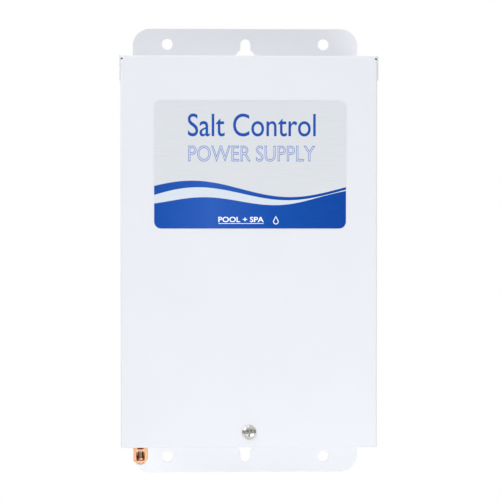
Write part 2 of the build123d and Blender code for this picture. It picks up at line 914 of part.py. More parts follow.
with BuildPart() as relays:
    with BuildSketch(wall_plane(board_front)):
        with Locations(*relay_centres):
            RectangleRounded(relay_width, relay_height, 1.0)
    extrude(amount=relay_rise)
    chamfer(relays.faces().group_by(Axis.Y)[0].edges(), 0.5)

with BuildPart() as filter_capacitors:
    with BuildSketch(wall_plane(board_front)):
        with Locations(*capacitor_centres):
            Circle(capacitor_radius)
    extrude(amount=capacitor_rise)
    fillet(filter_capacitors.faces().group_by(Axis.Y)[0].edges(), 1.0)

with BuildPart() as power_resistors:
    with BuildSketch(wall_plane(board_front)):
        with Locations(*resistor_centres):
            RectangleRounded(resistor_length, resistor_size, 0.8)
    extrude(amount=resistor_size)

with BuildPart() as chips:
    for x, z, chip_width, chip_height, chip_rise in chip_bodies:
        with BuildSketch(wall_plane(board_front)):
            with Locations((x, z)):
                Rectangle(chip_width, chip_height)
        extrude(amount=chip_rise)

with BuildPart() as output_choke:
    choke_centre = (choke_x, -board_front - choke_section_radius, choke_z)
    with BuildSketch(axial_plane(choke_centre, OUTWARD)):
        with Locations((choke_ring_radius, 0)):
            Circle(choke_section_radius)
    revolve(axis=Axis(choke_centre, OUTWARD))

with BuildPart() as fuse_glass:
    with BuildSketch(station(fuse_x - fuse_half_glass)):
        with Locations((-fuse_depth, fuse_z)):
            Circle(fuse_radius)
    extrude(amount=2 * fuse_half_glass)

with BuildPart() as fuse_caps:
    for cap_start in (fuse_x - fuse_half_glass - fuse_cap_length, fuse_x + fuse_half_glass):
        with BuildSketch(station(cap_start)):
            with Locations((-fuse_depth, fuse_z)):
                Circle(fuse_cap_radius)
        extrude(amount=fuse_cap_length)

with BuildPart() as fuse_clips:
    arm_offset = fuse_cap_radius + clip_sheet / 2
    for side in SIDES:
        with BuildSketch(station(fuse_x + side * (fuse_half_glass + fuse_cap_length / 2) - clip_length / 2)):
            with Locations((-board_front - clip_sheet / 2, fuse_z)):
                Rectangle(clip_sheet, 2 * arm_offset + clip_sheet)
            with Locations(
                (-board_front - clip_rise / 2, fuse_z + arm_offset),
                (-board_front - clip_rise / 2, fuse_z - arm_offset),
            ):
                Rectangle(clip_rise, clip_sheet)
        extrude(amount=clip_length)

with BuildPart() as varistor:
    disc_depth = board_front + varistor_lift + varistor_radius
    with BuildSketch(station(varistor_x - varistor_thickness / 2)):
        with Locations((-disc_depth, varistor_z)):
            Circle(varistor_radius)
    extrude(amount=varistor_thickness)
    fillet(varistor.edges().filter_by(GeomType.CIRCLE), 1.2)
    with BuildSketch(wall_plane(board_front)):
        with Locations((varistor_x, varistor_z - 2.5), (varistor_x, varistor_z + 2.5)):
            Circle(varistor_lead)
    extrude(amount=varistor_lift + 2.0)

with BuildPart() as ribbon_header:
    with BuildSketch(wall_plane(board_front)):
        with Locations((header_x, header_z)):
            Rectangle(header_length, header_width)
    extrude(amount=header_rise)
    with BuildSketch(wall_plane(board_front + header_wall)):
        with Locations((header_x, header_z)):
            Rectangle(header_length - 2 * header_wall, header_width - 2 * header_wall)
        with Locations((header_x, header_z - header_width / 2)):
            Rectangle(4.5, 2 * header_wall)
    extrude(amount=header_rise, mode=Mode.SUBTRACT)

with BuildPart() as header_pins:
    with BuildSketch(wall_plane(board_front + header_wall)):
        with Locations((header_x, header_z)):
            with GridLocations(header_pitch, header_pitch, header_pins_per_row, 2):
                Rectangle(header_pin, header_pin)
    extrude(amount=header_rise - 2.5 * header_wall)

with BuildPart() as status_leds:
    for x, z in led_centres:
        with BuildSketch(axial_plane((x, -board_front, z), OUTWARD)) as lens:
            with BuildLine():
                Polyline((0, led_rise + led_radius), (0, 0), (led_radius, 0), (led_radius, led_rise))
                RadiusArc((led_radius, led_rise), (0, led_rise + led_radius), -led_radius)
            make_face()
        revolve(lens.sketch, axis=Axis((x, -board_front, z), OUTWARD))

# ------------------------------------------------------------------ ground stud
with BuildPart() as ground_stud:
    weld_stud(ground_x, ground_z)

with BuildPart() as ring_terminal:
    with BuildSketch(wall_plane(body_sheet)):
        with Locations((ground_x, ground_z)):
            Circle(ring_radius)
        with Locations((ground_x, (ground_z + barrel_top_z) / 2)):
            Rectangle(2 * barrel_radius, barrel_top_z - ground_z)
        with Locations((ground_x, ground_z)):
            Circle(m5_radius + 0.2, mode=Mode.SUBTRACT)
    extrude(amount=ring_sheet)
    with BuildSketch(level(barrel_bottom_z)):
        with Locations((ground_x, -barrel_depth)):
            Circle(barrel_radius)
    extrude(amount=barrel_top_z - barrel_bottom_z)

with BuildPart() as ground_nut:
    m5_nut((ground_x, -body_sheet - ring_sheet, ground_z), OUTWARD)

# ------------------------------------------------------------------ wiring, held at both ends
primary_depth = bobbin_rear + bobbin_flange + section_length / 2
secondary_depth = primary_depth + section_length + bobbin_flange
spade_x = spade_spread / 2

with BuildPart() as primary_leads:
    for start_x, run_z, column_x, entry_z, pole in primary_columns:
        lead(
            [
                (start_x, -primary_depth, coil_bottom_z),
                (start_x, -primary_depth, run_z),
                (column_x, -primary_depth, run_z),
                (column_x, -lead_depth, entry_z),
                (mains_pole_x[pole], -lead_depth, entry_z),
                (mains_pole_x[pole], -lead_depth, block_top_z - wire_reach),
            ]
        )

with BuildPart() as secondary_leads:
    for side in SIDES:
        lead(
            [
                (side * spade_x, -secondary_depth, coil_bottom_z),
                (side * spade_x, -secondary_depth, sink_z + spade_x),
                (side * spade_x, -spade_tip, sink_z + spade_x),
            ],
            bend=10.0,
        )

rectified_turn = 34.0
rectified_pad_z = -22.0

with BuildPart() as rectified_leads:
    for side in SIDES:
        lead(
            [
                (side * spade_x, -spade_tip, sink_z - spade_x),
                (side * spade_x, -rectified_turn, sink_z - spade_x),
                (side * spade_x, -rectified_turn, rectified_pad_z),
                (side * spade_x, -board_front, rectified_pad_z),
            ],
            bend=7.0,
        )

output_turn_z = -116.0

with BuildPart() as output_leads:
    for pole, side in enumerate(SIDES):
        lead(
            [
                (output_pole_x[pole], -lead_depth, block_bottom_z + wire_reach),
                (output_pole_x[pole], -lead_depth, output_turn_z),
                (socket_x + side * contact_offset, -device_depth + contact_offset, output_turn_z),
                (socket_x + side * contact_offset, -device_depth + contact_offset, contact_tail_z),
            ],
            bend=6.0,
        )

breaker_turn_z = [-112.0, -107.5]

with BuildPart() as breaker_leads:
    for tab, side in enumerate((1, -1)):
        tab_y = -device_depth + side * breaker_tab_offset
        lead(
            [
                (mains_pole_x[tab + 2], -lead_depth, block_bottom_z + wire_reach),
                (mains_pole_x[tab + 2], -lead_depth, breaker_turn_z[tab]),
                (breaker_x, tab_y, breaker_turn_z[tab]),
                (breaker_x, tab_y, breaker_top_z + breaker_tab_height),
            ]
        )

ground_turn_z = -118.0

with BuildPart() as ground_wire:
    lead(
        [
            (mains_pole_x[0], -lead_depth, block_bottom_z + wire_reach),
            (mains_pole_x[0], -lead_depth, ground_turn_z),
            (ground_x, -barrel_depth, ground_turn_z),
            (ground_x, -barrel_depth, barrel_top_z),
        ]
    )

with BuildPart() as wire_ties:
    tie_x = (primary_columns[0][2] + primary_columns[1][2]) / 2
    for tie_z, tie_depth_from_wall in tie_spots:
        with BuildSketch(level(tie_z)):
            with Locations((tie_x, -tie_depth_from_wall)):
                RectangleRounded(tie_width, tie_depth, tie_corner)
                offset(amount=-tie_wall, mode=Mode.SUBTRACT)
        extrude(amount=tie_height)

# ------------------------------------------------------------------ one STEP file per piece
pieces = {
    "enclosure_shell": enclosure_shell,
    "top_wall": top_wall,
    "bottom_wall": bottom_wall,
    "front_cover": front_cover,
    "overlay_label": overlay_label,
    "lock_screw": lock_screw,
    "lock_screw_retainer": lock_screw_retainer,
    "lock_screw_nut": lock_screw_nut,
    "ground_lug": ground_lug,
    "lug_clamp_screw": lug_clamp_screw,
    "lug_mount_screw": lug_mount_screw,
    "lug_mount_nut": lug_mount_nut,
    "cell_socket": cell_socket,
    "socket_ring_nut": socket_ring_nut,
    "socket_contacts": socket_contacts,
    "reset_breaker": reset_breaker,
    "breaker_nut": breaker_nut,
    "breaker_button": breaker_button,
    "transformer_core": transformer_core,
    "transformer_bobbin": transformer_bobbin,
    "primary_winding": primary_winding,
    "secondary_winding": secondary_winding,
    "transformer_frame": transformer_frame,
    "panel_studs": panel_studs,
    "stud_nuts": stud_nuts,
    "heat_sink": heat_sink,
    "bridge_rectifier": bridge_rectifier,
    "rectifier_spades": rectifier_spades,
    "rectifier_screw": rectifier_screw,
    "circuit_board": circuit_board,
    "board_standoffs": board_standoffs,
    "board_screws": board_screws,
    "mains_terminal_block": mains_terminal_block,
    "output_terminal_block": output_terminal_block,
    "terminal_screws": terminal_screws,
    "relays": relays,
    "filter_capacitors": filter_capacitors,
    "power_resistors": power_resistors,
    "chips": chips,
    "output_choke": output_choke,
    "fuse_glass": fuse_glass,
    "fuse_caps": fuse_caps,
    "fuse_clips": fuse_clips,
    "varistor": varistor,
    "ribbon_header": ribbon_header,
    "header_pins": header_pins,
    "status_leds": status_leds,
    "ground_stud": ground_stud,
    "ring_terminal": ring_terminal,
    "ground_nut": ground_nut,
    "primary_leads": primary_leads,
    "secondary_leads": secondary_leads,
    "rectified_leads": rectified_leads,
    "output_leads": output_leads,
    "breaker_leads": breaker_leads,
    "ground_wire": ground_wire,
    "wire_ties": wire_ties,
}

os.makedirs("parts", exist_ok=True)
for name, piece in pieces.items():
    piece.part.label = name
    export_step(piece.part, f"parts/{name}.step")
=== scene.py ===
"""Looks of a salt chlorine generator's wall-mounted power unit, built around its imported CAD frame.

Lengths are metres in the CAD's own frame: +X to the viewer's right, +Y into the wall, +Z up.
"""

import json
import math

import bmesh
import bpy
from mathutils import Matrix, Vector


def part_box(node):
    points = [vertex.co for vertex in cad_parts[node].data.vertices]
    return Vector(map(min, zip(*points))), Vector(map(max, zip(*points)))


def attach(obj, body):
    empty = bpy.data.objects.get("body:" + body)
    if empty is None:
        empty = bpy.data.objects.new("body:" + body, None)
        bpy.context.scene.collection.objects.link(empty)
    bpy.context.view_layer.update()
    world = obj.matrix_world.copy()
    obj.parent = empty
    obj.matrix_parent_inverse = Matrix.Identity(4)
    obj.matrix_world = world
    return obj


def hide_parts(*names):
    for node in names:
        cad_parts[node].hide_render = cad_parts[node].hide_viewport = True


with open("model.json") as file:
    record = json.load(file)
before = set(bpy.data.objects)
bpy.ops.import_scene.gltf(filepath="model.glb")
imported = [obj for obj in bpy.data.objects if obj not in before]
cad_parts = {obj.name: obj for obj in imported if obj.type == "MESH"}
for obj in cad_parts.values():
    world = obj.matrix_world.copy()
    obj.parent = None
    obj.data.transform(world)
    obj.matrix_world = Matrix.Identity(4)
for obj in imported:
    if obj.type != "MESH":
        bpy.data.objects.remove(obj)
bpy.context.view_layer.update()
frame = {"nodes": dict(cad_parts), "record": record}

MM = 0.001
CAD = frame["nodes"]


# ---------------------------------------------------------------- node materials


class Finish:
    """One Principled material whose texture nodes all work in object space, in metres."""

    def __init__(self, name, color, roughness, metallic=0.0, **sockets):
        self.material = bpy.data.materials.new(name)
        self.material.use_nodes = True
        self.tree = self.material.node_tree
        self.shader = self.tree.nodes["Principled BSDF"]
        self.place = self.tree.nodes.new("ShaderNodeTexCoord").outputs["Object"]
        self.surface = None
        self.color = (*color, 1.0)
        sockets = {"Base Color": self.color, "Roughness": roughness, "Metallic": metallic, **sockets}
        for socket, value in sockets.items():
            self.shader.inputs[socket].default_value = value

    def node(self, kind, inputs=None, **settings):
        made = self.tree.nodes.new("ShaderNode" + kind)
        for key, value in settings.items():
            setattr(made, key, value)
        for key, value in (inputs or {}).items():
            if isinstance(value, bpy.types.NodeSocket):
                self.tree.links.new(value, made.inputs[key])
            else:
                made.inputs[key].default_value = value
        return made

    def measured(self, size):
        """Object space in units of a size, one length or one for each axis."""
        sizes = size if isinstance(size, tuple) else (size,) * 3
        scale = [1 / s for s in sizes]
        return self.node("Mapping", {"Vector": self.place, "Scale": scale}).outputs[0]

    def noise(self, size, detail=3.0, rough=0.55, warp=0.0):
        """Cloudy noise whose blobs are about that size across."""
        inputs = {"Vector": self.measured(size), "Scale": 1.0, "Detail": detail}
        inputs.update({"Roughness": rough, "Distortion": warp})
        return self.node("TexNoise", inputs).outputs["Fac"]

    def cells(self, size):
        """Distance to the nearest of scattered points, each in a cell of that size."""
        inputs = {"Vector": self.measured(size), "Scale": 1.0}
        return self.node("TexVoronoi", inputs).outputs["Distance"]

    def waves(self, axis, spacing, warp=0.0, profile="SIN"):
        """Straight bands across an axis, one for each `spacing`."""
        inputs = {"Vector": self.measured(spacing), "Scale": math.pi / 10, "Distortion": warp}
        inputs["Detail Scale"] = 0.6
        settings = {"wave_type": "BANDS", "bands_direction": axis, "wave_profile": profile}
        return self.node("TexWave", inputs, **settings).outputs["Fac"]

    def span(self, value, low, high, start=0.0, end=1.0):
        """Value from low...high laid out on start...end, and held there."""
        inputs = {"Value": value, "From Min": low, "From Max": high, "To Min": start, "To Max": end}
        return self.node("MapRange", inputs).outputs["Result"]

    def maths(self, operation, *values):
        inputs = dict(enumerate(values))
        return self.node("Math", inputs, operation=operation).outputs[0]

    def blend(self, share, first, second):
        """First colour where share is 0 and second where it is 1."""
        mixer = self.node("Mix", data_type="RGBA")
        for socket, value in zip((0, 6, 7), (share, first, second)):
            if isinstance(value, bpy.types.NodeSocket):
                self.tree.links.new(value, mixer.inputs[socket])
            else:
                mixer.inputs[socket].default_value = value if socket == 0 else (*value[:3], 1.0)
        return mixer.outputs[2]

    def edges(self, radius, strength=8.0):
        """1 on outside and inside edges, 0 on open faces."""
        soft = self.node("Bevel", {"Radius": radius}, samples=4).outputs[0]
        true = self.node("NewGeometry").outputs["Normal"]
        facing = self.node("VectorMath", {0: soft, 1: true}, operation="DOT_PRODUCT").outputs["Value"]
        return self.span(facing, 1.0, 1.0 - 1.0 / strength)

    def round_edges(self, radius):
        self.surface = self.node("Bevel", {"Radius": radius}, samples=4).outputs[0]
        return self

    def bump(self, height, depth):
        """Adds relief of that depth in metres on top of what is there already."""
        inputs = {"Height": height, "Distance": depth, "Strength": 1.0}
        if self.surface:
            inputs["Normal"] = self.surface
        self.surface = self.node("Bump", inputs).outputs[0]
        return self

    def drive(self, **sockets):
        """Feeds the shader's sockets, whose names have spaces in place of underscores."""
        for name, value in sockets.items():
            self.tree.links.new(value, self.shader.inputs[name.replace("_", " ")])
        return self

    def tint(self, share, other):
        """The finish's own colour, going over to another one where share is 1."""
        return self.drive(Base_Color=self.blend(share, self.color, other))

    def done(self):
        if self.surface:
            self.tree.links.new(self.surface, self.shader.inputs["Normal"])
        return self.material


def shade(color, factor):
    return tuple(min(1.0, c * factor) for c in color[:3])


def srgb(*levels):
    """Linear colour of 8-bit screen levels."""
    return tuple((v / 255 / 12.92) if v <= 10 else ((v / 255 + 0.055) / 1.055) ** 2.4 for v in levels)


def coat(name, color, peel, bite):
    """White powder coat: orange peel, fine speckle, a thinner and glossier film along edges."""
    f = Finish(name, color, 0.38, **{"Specular IOR Level": 0.5, "Coat Weight": 0.12, "Coat Roughness": 0.2})
    f.round_edges(0.5 * MM)
    cloud = f.noise(60 * MM, detail=2.0)
    speck = f.noise(0.5 * MM, detail=2.0)
    shaded = f.maths("ADD", f.span(cloud, 0.3, 0.7, 0.0, 0.5), f.span(speck, 0.55, 0.8, 0.0, 0.5))
    f.tint(shaded, shade(color, 0.965))
    worn = f.edges(0.7 * MM)
    rough = f.span(f.noise(9 * MM), 0.3, 0.7, 0.33, 0.43)
    f.drive(Roughness=f.maths("SUBTRACT", rough, f.maths("MULTIPLY", worn, 0.08)))
    f.bump(f.noise(peel, detail=2.0, warp=0.4), bite)
    f.bump(f.noise(0.35 * MM, detail=1.0), bite / 6)
    return f.done()


def turned_metal(name, color, roughness=0.26):
    """Small machined or formed fasteners: tool marks, bright edges, faint tarnish in the recesses."""
    f = Finish(name, color, roughness, metallic=1.0).round_edges(0.15 * MM)
    tarnish = f.noise(1.6 * MM, detail=5.0, warp=0.6)
    f.tint(f.span(tarnish, 0.4, 0.75), shade(color, 0.72))
    f.drive(Roughness=f.span(tarnish, 0.3, 0.8, roughness - 0.06, roughness + 0.14))
    f.bump(f.noise(0.18 * MM, detail=3.0), 0.004 * MM)
    return f.done()


def plated(name, color, roughness=0.34):
    """Zinc plate: small crystals, a faint blue and yellow passivation, fine handling marks."""
    f = Finish(name, color, roughness, metallic=1.0).round_edges(0.25 * MM)
    crystal = f.cells(1.4 * MM)
    film = f.noise(12 * MM, detail=3.0, warp=0.8)
    warm = f.blend(f.span(film, 0.35, 0.7), shade(color, 1.0), (color[0], color[1] * 0.95, color[2] * 0.84))
    f.drive(Base_Color=f.blend(f.span(crystal, 0.2, 0.9, 0.0, 0.45), warm, shade(color, 0.78)))
    f.drive(Roughness=f.span(crystal, 0.0, 1.0, roughness - 0.08, roughness + 0.12))
    f.bump(f.noise((5 * MM, 5 * MM, 0.15 * MM), detail=3.0), 0.003 * MM)
    return f.done()


def moulded(name, color, roughness=0.42, grain=0.35 * MM, depth=0.012 * MM, **sockets):
    """Moulded plastic: a fine spark-eroded grain, flow streaks and lighter rubbed edges."""
    f = Finish(name, color, roughness, **sockets).round_edges(0.2 * MM)
    streak = f.noise((9 * MM, 3 * MM, 9 * MM), detail=3.0, warp=1.0)
    rubbed = f.edges(0.35 * MM)
    lighter = tuple(min(1.0, c * 1.25 + 0.02) for c in color)
    base = f.blend(f.span(streak, 0.3, 0.75), shade(color, 1.0), shade(color, 0.86))
    f.drive(Base_Color=f.blend(f.maths("MULTIPLY", rubbed, 0.6), base, lighter))
    f.drive(Roughness=f.span(f.noise(grain, detail=2.0), 0.3, 0.7, roughness - 0.08, roughness + 0.1))
    f.bump(f.noise(grain, detail=2.0), depth)
    return f.done()


def insulation(name, color):
    """PVC wire covering: extrusion ripple, a slight dusting and a soft shine."""
    f = Finish(name, color, 0.34, **{"Specular IOR Level": 0.55})
    dust = f.noise(5 * MM, detail=4.0)
    f.tint(f.span(dust, 0.45, 0.85, 0.0, 0.5), tuple(c * 0.75 + 0.06 for c in color))
    f.drive(Roughness=f.span(dust, 0.3, 0.8, 0.28, 0.5))
    f.bump(f.noise(0.9 * MM, detail=2.0), 0.03 * MM)
    return f.done()


def printed_ink(name, color):
    """Screen-printed ink: a dense film with a faint mesh texture."""
    f = Finish(name, color, 0.5, **{"Specular IOR Level": 0.12})
    grain = f.noise((7 * MM, 7 * MM, 0.22 * MM), detail=3.0)
    f.tint(f.span(grain, 0.3, 0.7, 0.0, 0.6), shade(color, 0.93))
    f.drive(Roughness=f.span(grain, 0.3, 0.7, 0.36, 0.48))
    f.bump(f.noise(0.15 * MM, detail=1.0), 0.002 * MM)
    return f.done()


def silver_film(name):
    """Satin silver overlay film with a fine horizontal brush grain."""
    color = srgb(218, 222, 227)
    f = Finish(name, color, 0.4, metallic=0.12).round_edges(0.1 * MM)
    grain = f.noise((16 * MM, 16 * MM, 0.2 * MM), detail=5.0, rough=0.65)
    drift = f.noise(45 * MM, detail=1.0)
    tone = f.blend(f.span(grain, 0.3, 0.7), shade(color, 1.05), shade(color, 0.93))
    f.drive(Base_Color=f.blend(f.span(drift, 0.3, 0.7, 0.0, 0.3), tone, shade(color, 0.97)))
    f.drive(Roughness=f.span(grain, 0.3, 0.7, 0.3, 0.44))
    f.bump(grain, 0.003 * MM)
    return f.done()


def blue_print(name, lo, hi):
    """Blue ink that is lightest a third of the way across the label and deepens to the right."""
    f = Finish(name, srgb(40, 90, 180), 0.5, **{"Specular IOR Level": 0.1})
    along = f.node("SeparateXYZ", {"Vector": f.place}).outputs["X"]
    share = f.span(along, lo.x, hi.x)
    ramp = f.node("ValToRGB", {"Fac": share})
    colors = (srgb(12, 72, 161), srgb(40, 86, 175), srgb(6, 72, 161), srgb(0, 62, 149))
    stops = list(zip((0.0, 0.3, 0.62, 1.0), colors))
    while len(ramp.color_ramp.elements) < len(stops):
        ramp.color_ramp.elements.new(0.5)
    for element, (position, color) in zip(ramp.color_ramp.elements, stops):
        element.position = position
        element.color = (*color, 1.0)
    grain = f.noise((9 * MM, 9 * MM, 0.2 * MM), detail=3.0)
    pale = f.span(grain, 0.3, 0.7, 0.0, 0.12)
    f.drive(Base_Color=f.blend(pale, ramp.outputs["Color"], srgb(70, 115, 200)))
    f.drive(Roughness=f.span(grain, 0.3, 0.7, 0.34, 0.46))
    f.bump(grain, 0.002 * MM)
    return f.done()


def copper_strap(name):
    """Bare copper: rolled grain, brown and pink tarnish clouds, bright rubbed edges."""
    color = (0.97, 0.57, 0.34)
    f = Finish(name, color, 0.42, metallic=1.0).round_edges(0.4 * MM)
    tarnish = f.noise(3.0 * MM, detail=5.0, warp=0.8)
    aged = f.blend(f.span(tarnish, 0.45, 0.75), color, (0.62, 0.27, 0.14))
    rubbed = f.edges(0.5 * MM, strength=5.0)
    f.drive(Base_Color=f.blend(f.maths("MULTIPLY", rubbed, 0.8), aged, (0.98, 0.74, 0.56)))
    f.drive(Roughness=f.span(tarnish, 0.3, 0.8, 0.34, 0.56))
    f.bump(f.noise((0.2 * MM, 0.2 * MM, 5 * MM), detail=3.0), 0.01 * MM)
    return f.done()


def core_lacquer(name):
    """Transformer core: 0.5 mm laminations under a brown-grey varnish, with patches of rust."""
    color = (0.16, 0.15, 0.15)
    f = Finish(name, color, 0.4, metallic=0.55, **{"Coat Weight": 0.35, "Coat Roughness": 0.25})
    sheets = f.waves("Y", 0.5 * MM, warp=0.4)
    rust = f.noise(4 * MM, detail=5.0, warp=0.6)
    tone = f.blend(f.span(sheets, 0.3, 0.7), shade(color, 0.6), shade(color, 1.5))
    f.drive(Base_Color=f.blend(f.span(rust, 0.55, 0.75, 0.0, 0.7), tone, (0.16, 0.075, 0.04)))
    f.drive(Roughness=f.span(rust, 0.35, 0.75, 0.32, 0.62))
    f.bump(sheets, 0.06 * MM).bump(rust, 0.05 * MM)
    return f.done()


def tape_wrap(name):
    """Polyester winding tape: amber gloss, a line at each lap and small trapped wrinkles."""
    color = (0.72, 0.52, 0.10)
    f = Finish(name, color, 0.24, **{"Coat Weight": 0.6, "Coat Roughness": 0.12})
    laps = f.waves("Y", 7.4 * MM, profile="SAW")
    wrinkle = f.noise((3 * MM, 11 * MM, 5 * MM), detail=4.0, warp=1.2)
    tone = f.blend(f.span(wrinkle, 0.35, 0.75), shade(color, 1.1), shade(color, 0.72))
    f.drive(Base_Color=f.blend(f.span(laps, 0.9, 1.0, 0.0, 0.55), tone, shade(color, 0.45)))
    f.drive(Roughness=f.span(wrinkle, 0.3, 0.8, 0.18, 0.36))
    f.bump(laps, 0.10 * MM).bump(wrinkle, 0.10 * MM)
    return f.done()


def enamel_wire(name, color):
    """Enamelled copper: deep red-brown with a varnish gloss and uneven tone from turn to turn."""
    f = Finish(name, color, 0.24, metallic=1.0, **{"Coat Weight": 0.5, "Coat Roughness": 0.1})
    tone = f.noise(2.2 * MM, detail=4.0)
    f.tint(f.span(tone, 0.35, 0.75), shade(color, 0.6))
    f.drive(Roughness=f.span(tone, 0.3, 0.8, 0.2, 0.4))
    f.bump(f.noise(0.4 * MM), 0.01 * MM)
    return f.done()


def cast_ceramic(name, color):
    """Cement or ceramic body: chalky, pitted and slightly sandy, with painted shade darkening each pit."""
    f = Finish(name, color, 0.82).round_edges(0.3 * MM)
    sand = f.noise(0.4 * MM, detail=5.0, rough=0.7)
    pits = f.cells(0.9 * MM)
    tone = f.blend(f.span(sand, 0.3, 0.75), shade(color, 1.05), shade(color, 0.78))
    # Painted shade: each pit is darkened in colour as well as sunk by the bump below.
    f.drive(Base_Color=f.blend(f.span(pits, 0.0, 0.22, 0.5, 0.0), tone, shade(color, 0.5)))
    f.bump(sand, 0.05 * MM).bump(f.span(pits, 0.0, 0.25), 0.05 * MM)
    return f.done()


def solder_mask(name, color):
    """Board: green mask over a woven glass laminate, with tan raw edges."""
    f = Finish(name, color, 0.3, **{"Coat Weight": 0.4, "Coat Roughness": 0.15})
    weave = f.maths("MULTIPLY", f.waves("X", 0.6 * MM, warp=0.2), f.waves("Z", 0.6 * MM, warp=0.2))
    pool = f.noise(8 * MM, detail=4.0)
    flat = f.node("NewGeometry").outputs["Normal"]
    facing = f.maths("ABSOLUTE", f.node("SeparateXYZ", {"Vector": flat}).outputs["Y"])
    mask = f.blend(f.span(weave, 0.1, 0.9, 0.0, 0.5), shade(color, 1.0), shade(color, 1.35))
    mask = f.blend(f.span(pool, 0.35, 0.75, 0.0, 0.5), mask, shade(color, 0.7))
    f.drive(Base_Color=f.blend(f.span(facing, 0.4, 0.7), (0.42, 0.36, 0.17), mask))
    f.drive(Roughness=f.span(facing, 0.4, 0.7, 0.7, 0.28))
    f.bump(weave, 0.01 * MM)
    return f.done()


def clear_glass(name):
    """Fuse tube: clear glass with faint drawn streaks."""
    f = Finish(name, (0.95, 0.98, 0.97), 0.04, **{"Transmission Weight": 0.92, "IOR": 1.45})
    streak = f.noise((6 * MM, 0.3 * MM, 0.3 * MM), detail=2.0)
    f.drive(Roughness=f.span(streak, 0.3, 0.8, 0.02, 0.12))
    f.bump(streak, 0.01 * MM)
    return f.done()


def lens(name, color):
    """Indicator lens: tinted translucent epoxy."""
    f = Finish(name, color, 0.12, **{"Transmission Weight": 0.45, "IOR": 1.5, "Coat Weight": 0.5})
    swirl = f.noise(1.5 * MM, detail=2.0)
    f.tint(f.span(swirl, 0.3, 0.7), shade(color, 0.75))
    f.drive(Roughness=f.span(swirl, 0.3, 0.7, 0.08, 0.2))
    f.bump(swirl, 0.02 * MM)
    return f.done()


def heat_sink_metal(name):
    """Extruded aluminium: die lines along the fins and a matte, slightly dusty skin."""
    color = (0.76, 0.77, 0.78)
    f = Finish(name, color, 0.36, metallic=1.0).round_edges(0.2 * MM)
    die = f.noise((0.25 * MM, 0.25 * MM, 30 * MM), detail=4.0)
    dust = f.noise(6 * MM, detail=4.0)
    f.tint(f.span(dust, 0.4, 0.8), shade(color, 0.78))
    f.drive(Roughness=f.span(die, 0.3, 0.7, 0.28, 0.46))
    f.bump(die, 0.015 * MM)
    return f.done()


WALL_WHITE = (0.815, 0.83, 0.87)
# The cover's white is the wall's powder coat made about a tenth darker: painted shade on the cover, holding
# its face down against the flanges.
SHADED_COVER_WHITE = (0.732, 0.752, 0.795)
MATERIALS = {
    "powder_coat": coat("powder_coat", WALL_WHITE, 1.5 * MM, 0.012 * MM),
    # Cover: the same powder coat in the darker white, which is painted shade on its face.
    "cover_coat": coat("cover_coat", SHADED_COVER_WHITE, 1.5 * MM, 0.010 * MM),
    "label_film": silver_film("label_film"),
    "stainless": turned_metal("stainless", (0.60, 0.59, 0.57), 0.22),
    "zinc_steel": plated("zinc_steel", (0.66, 0.67, 0.68)),
    "nylon": moulded("nylon", (0.78, 0.75, 0.67), 0.38, **{"Subsurface Weight": 0.15}),
    "copper": copper_strap("copper"),
    "black_plastic": moulded("black_plastic", (0.022, 0.022, 0.024), 0.4),
    "brass": turned_metal("brass", (0.78, 0.56, 0.24), 0.24),
    "red_plastic": moulded("red_plastic", (0.55, 0.03, 0.025), 0.3),
    "core_steel": core_lacquer("core_steel"),
    "winding_tape": tape_wrap("winding_tape"),
    "copper_wire": enamel_wire("copper_wire", (0.62, 0.24, 0.10)),
    "aluminium": heat_sink_metal("aluminium"),
    "tinned_brass": turned_metal("tinned_brass", (0.74, 0.72, 0.66), 0.3),
    "board_laminate": solder_mask("board_laminate", (0.012, 0.13, 0.05)),
    "terminal_plastic": moulded("terminal_plastic", (0.03, 0.25, 0.09), 0.4),
    "relay_plastic": moulded("relay_plastic", (0.025, 0.09, 0.34), 0.24),
    "capacitor_sleeve": moulded("capacitor_sleeve", (0.03, 0.035, 0.06), 0.22),
    "resistor_ceramic": cast_ceramic("resistor_ceramic", (0.72, 0.70, 0.64)),
    "chip_epoxy": moulded("chip_epoxy", (0.03, 0.03, 0.032), 0.55, grain=0.2 * MM),
    "ferrite": enamel_wire("ferrite", (0.55, 0.21, 0.08)),
    "fuse_glass": clear_glass("fuse_glass"),
    "nickel": turned_metal("nickel", (0.76, 0.74, 0.69), 0.2),
    "varistor_coat": moulded("varistor_coat", (0.03, 0.12, 0.42), 0.26, depth=0.02 * MM),
    "led_lens": lens("led_lens", (0.12, 0.7, 0.18)),
    "black_wire": insulation("black_wire", (0.02, 0.02, 0.022)),
    "yellow_wire": insulation("yellow_wire", (0.78, 0.56, 0.03)),
    "red_wire": insulation("red_wire", (0.52, 0.02, 0.02)),
    "blue_wire": insulation("blue_wire", (0.02, 0.08, 0.38)),
    "green_wire": insulation("green_wire", (0.03, 0.30, 0.08)),
}


def dress_cad_nodes():
    for subpart in frame["record"]["subparts"]:
        mesh = CAD[subpart["node"]].data
        mesh.materials.clear()
        mesh.materials.append(MATERIALS[subpart["material_slot"]])


# ---------------------------------------------------------------- making pieces


def ridden_mesh(name, mesh, finish, body):
    """Shows a finished mesh, in frame coordinates, as a piece that rides on a CAD body."""
    mesh.name = name
    mesh.materials.clear()
    mesh.materials.append(finish)
    piece = bpy.data.objects.new(name, mesh)
    bpy.context.scene.collection.objects.link(piece)
    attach(piece, body)
    return piece


def mesh_of(curve):
    """The mesh of a curve, which isn't kept in the scene."""
    drawn = bpy.data.objects.new(curve.name + "_curve", curve)
    bpy.context.scene.collection.objects.link(drawn)
    bpy.context.view_layer.update()
    mesh = bpy.data.meshes.new_from_object(drawn.evaluated_get(bpy.context.evaluated_depsgraph_get()))
    bpy.data.objects.remove(drawn)
    return mesh


def cleaned(mesh):
    shape = bmesh.new()
    shape.from_mesh(mesh)
    bmesh.ops.remove_doubles(shape, verts=shape.verts, dist=1e-7)
    bmesh.ops.recalc_face_normals(shape, faces=shape.faces)
    shape.to_mesh(mesh)
    shape.free()
    return mesh


